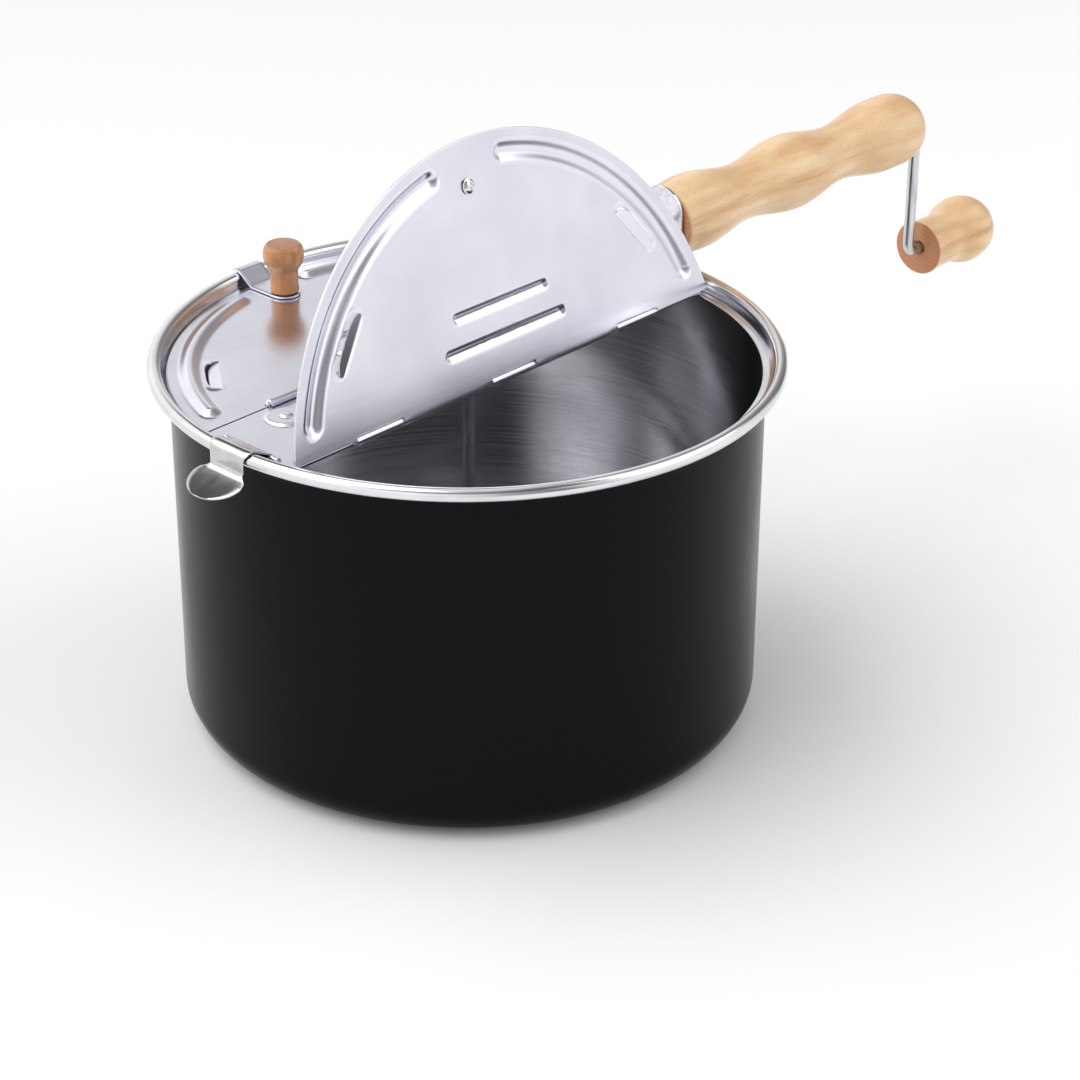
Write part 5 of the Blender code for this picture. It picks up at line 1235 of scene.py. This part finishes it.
# The shaft is a chamfered bar; the wire crosses it and turns back at each end as a hairpin.
def makeStirrer():
    r, top, bottom = stirrer["shaft"], stirrer["top"], stirrer["bottom"]
    ends = [(0, top), (r - 0.4, top), (r, top - 0.4), (r, 100), (r, 40), (r, bottom + 0.4)]
    ends = np.array(ends + [(r - 0.4, bottom), (0, bottom)])
    shaft = [skin(revolve(ends, 40))]
    addPiece("stirrer_shaft", shaft, "rod", "stirrer", materials=[shaftMetal])
    turn = stirrer["turn"]
    reach = stirrer["reach"] - turn - stirrer["wire"]
    hairpin = arcLine((reach, turn), turn, -90, 90, 26)
    far = np.concatenate([hairpin, [(reach - stirrer["back"], 2 * turn)]])
    bar = roundBar(np.concatenate([-far[::-1], far]), stirrer["wire"], 0.4, 8.0, 20)
    # the line was drawn in XZ, so it is laid flat and turned
    flat = Matrix(((1, 0, 0, 0), (0, 0, 1, 0), (0, -1, 0, 0), (0, 0, 0, 1)))
    turn = Matrix.Rotation(math.radians(stirrer["angle"]), 4, "Z") @ flat
    spot = moved(0, 0, stirrer["wireZ"], turn)
    wire = [skin(placed(bar, spot))]
    addPiece("stirrer_wire", wire, "rod", "stirrer", materials=[wireMetal])


makeStirrer()


# ---- floor, light and camera

studio = {
    "floor": "#F8F8F8", "floorSize": 14.0, "key": 34.0, "fill": 4.0, "side": 22.0, "sky": 1.15
}


def makeStudio():
    half = studio["floorSize"] / 2
    mesh = bpy.data.meshes.new("floor")
    corners = [(-half, -half, 0), (half, -half, 0), (half, half, 0), (-half, half, 0)]
    mesh.from_pydata(corners, [], [(0, 1, 2, 3)])
    sockets = {"Base Color": studio["floor"], "Roughness": 0.8, "Specular IOR Level": 0.2}
    material, _ = newMaterial("matt white floor", sockets)
    floor = toObject("floor", mesh)
    mesh.materials.append(material)
    # sky: bright to the left, darker to the right and high up behind the camera, and a small
    # dark patch high up behind the pot
    world = bpy.context.scene.world or bpy.data.worlds.new("studio")
    bpy.context.scene.world = world
    world.use_nodes = True
    ray = addNode(world, "TexCoord", {}, {}, "Generated")

    def towards(*way):
        return addNode(world, "VectorMath", {"operation": "DOT_PRODUCT"}, {0: ray, 1: way}, "Value")

    up = addNode(world, "SeparateXYZ", {}, {0: ray}, "Z")
    height = addNode(world, "ValToRGB", {}, {"Fac": up})
    setStops(height, [(0.0, 1.0), (0.52, 1.0), (0.72, 0.30), (0.93, 0.35), (1.0, 0.8)])
    tone = tinted(world, "#FFFFFF", towards(-0.713, -0.701, 0.0), height, 0.0, 1.0, -0.25, 0.25)
    toRight = levels(towards(0.701, -0.713, 0.0), 0.0, 1.0, -1.0, 1.0)
    toRight = addNode(world, "MapRange", {}, toRight)
    across = addNode(world, "ValToRGB", {}, {"Fac": toRight})
    stops = [(0.36, 1.0), (0.47, 0.82), (0.535, 0.80), (0.61, 0.38), (0.72, 0.22), (0.84, 0.16)]
    setStops(across, stops + [(0.92, 0.9)])
    multiply = {"data_type": "RGBA", "blend_type": "MULTIPLY"}
    tone = addNode(world, "Mix", multiply, {0: 1.0, 6: tone, 7: across}, 2)
    dark = (0.03, 0.03, 0.03, 1.0)
    tone = tinted(world, tone, towards(0.371, 0.630, 0.682), dark, 0.0, 0.93, 0.957, 0.98)
    background = world.node_tree.nodes["Background"]
    feed(world, background, "Color", tone)
    feed(world, background, "Strength", studio["sky"])
    right, ahead = Vector((0.701, -0.713, 0)), Vector((0.713, 0.701, 0))
    lamps = {
        "key": (-right * 1.4 - ahead * 0.2 + Vector((0, 0, 2.1)), (0, 0, 0.1), studio["key"], 2.6),
        "fill": (right * 1.6 - ahead * 1.0 + Vector((0, 0, 1.2)), (0, 0, 0.1), studio["fill"], 1.6),
        "side": (right * 2.1 + Vector((0, 0, 1.9)), right * 2.1, studio["side"], 2.2),
    }
    for name, (place, goal, power, size) in lamps.items():
        lamp = bpy.data.lights.new(name, "AREA")
        lamp.shape, lamp.size, lamp.energy = "SQUARE", size, power
        thing = toObject(name, lamp)
        thing.location = place
        thing.rotation_euler = (Vector(goal) - place).to_track_quat("-Z", "Y").to_euler()


makeStudio()

shot = {
    "aim": (0.0, 0.0, 80.0), "distance": 1200.0, "azimuth": 45.5, "elevation": 27.4, "roll": -0.42,
    "aimPixel": (469.3, 516.9), "focusPixels": 2930.0, "picture": 1080,
}


# The camera looks along the azimuth and down by the elevation, then turns so that the aim
# point falls on its pixel in the picture.
def makeCamera():
    tilt = math.radians(shot["elevation"])
    back = Vector((0, -math.cos(tilt), math.sin(tilt)))
    ahead = -back
    right = Vector((1, 0, 0))
    up = right.cross(ahead)
    axes = Matrix((right, -up, ahead))
    offset = Vector(
        [(pixel - shot["picture"] / 2) / shot["focusPixels"] for pixel in shot["aimPixel"]] + [1]
    )
    swing = Vector((0, 0, 1)).rotation_difference(offset).to_matrix()
    axes = swing @ Matrix.Rotation(math.radians(shot["roll"]), 3, "Z") @ axes
    turn = Matrix.Rotation(-math.radians(shot["azimuth"]), 3, "Z")
    columns = [turn @ axes[0], turn @ -axes[1], turn @ -axes[2]]
    rotation = Matrix(columns).transposed()
    lens = bpy.data.cameras.new("camera")
    lens.sensor_width = 36.0
    lens.lens = shot["focusPixels"] / shot["picture"] * lens.sensor_width
    lens.clip_end = 50.0
    camera = toObject("camera", lens)
    place = Vector(shot["aim"]) * mm + (turn @ back) * shot["distance"] * mm
    camera.matrix_world = Matrix.Translation(place) @ rotation.to_4x4()
    bpy.context.scene.camera = camera


makeCamera()
bpy.context.scene.view_settings.view_transform = "Standard"
print("studio and camera ready")
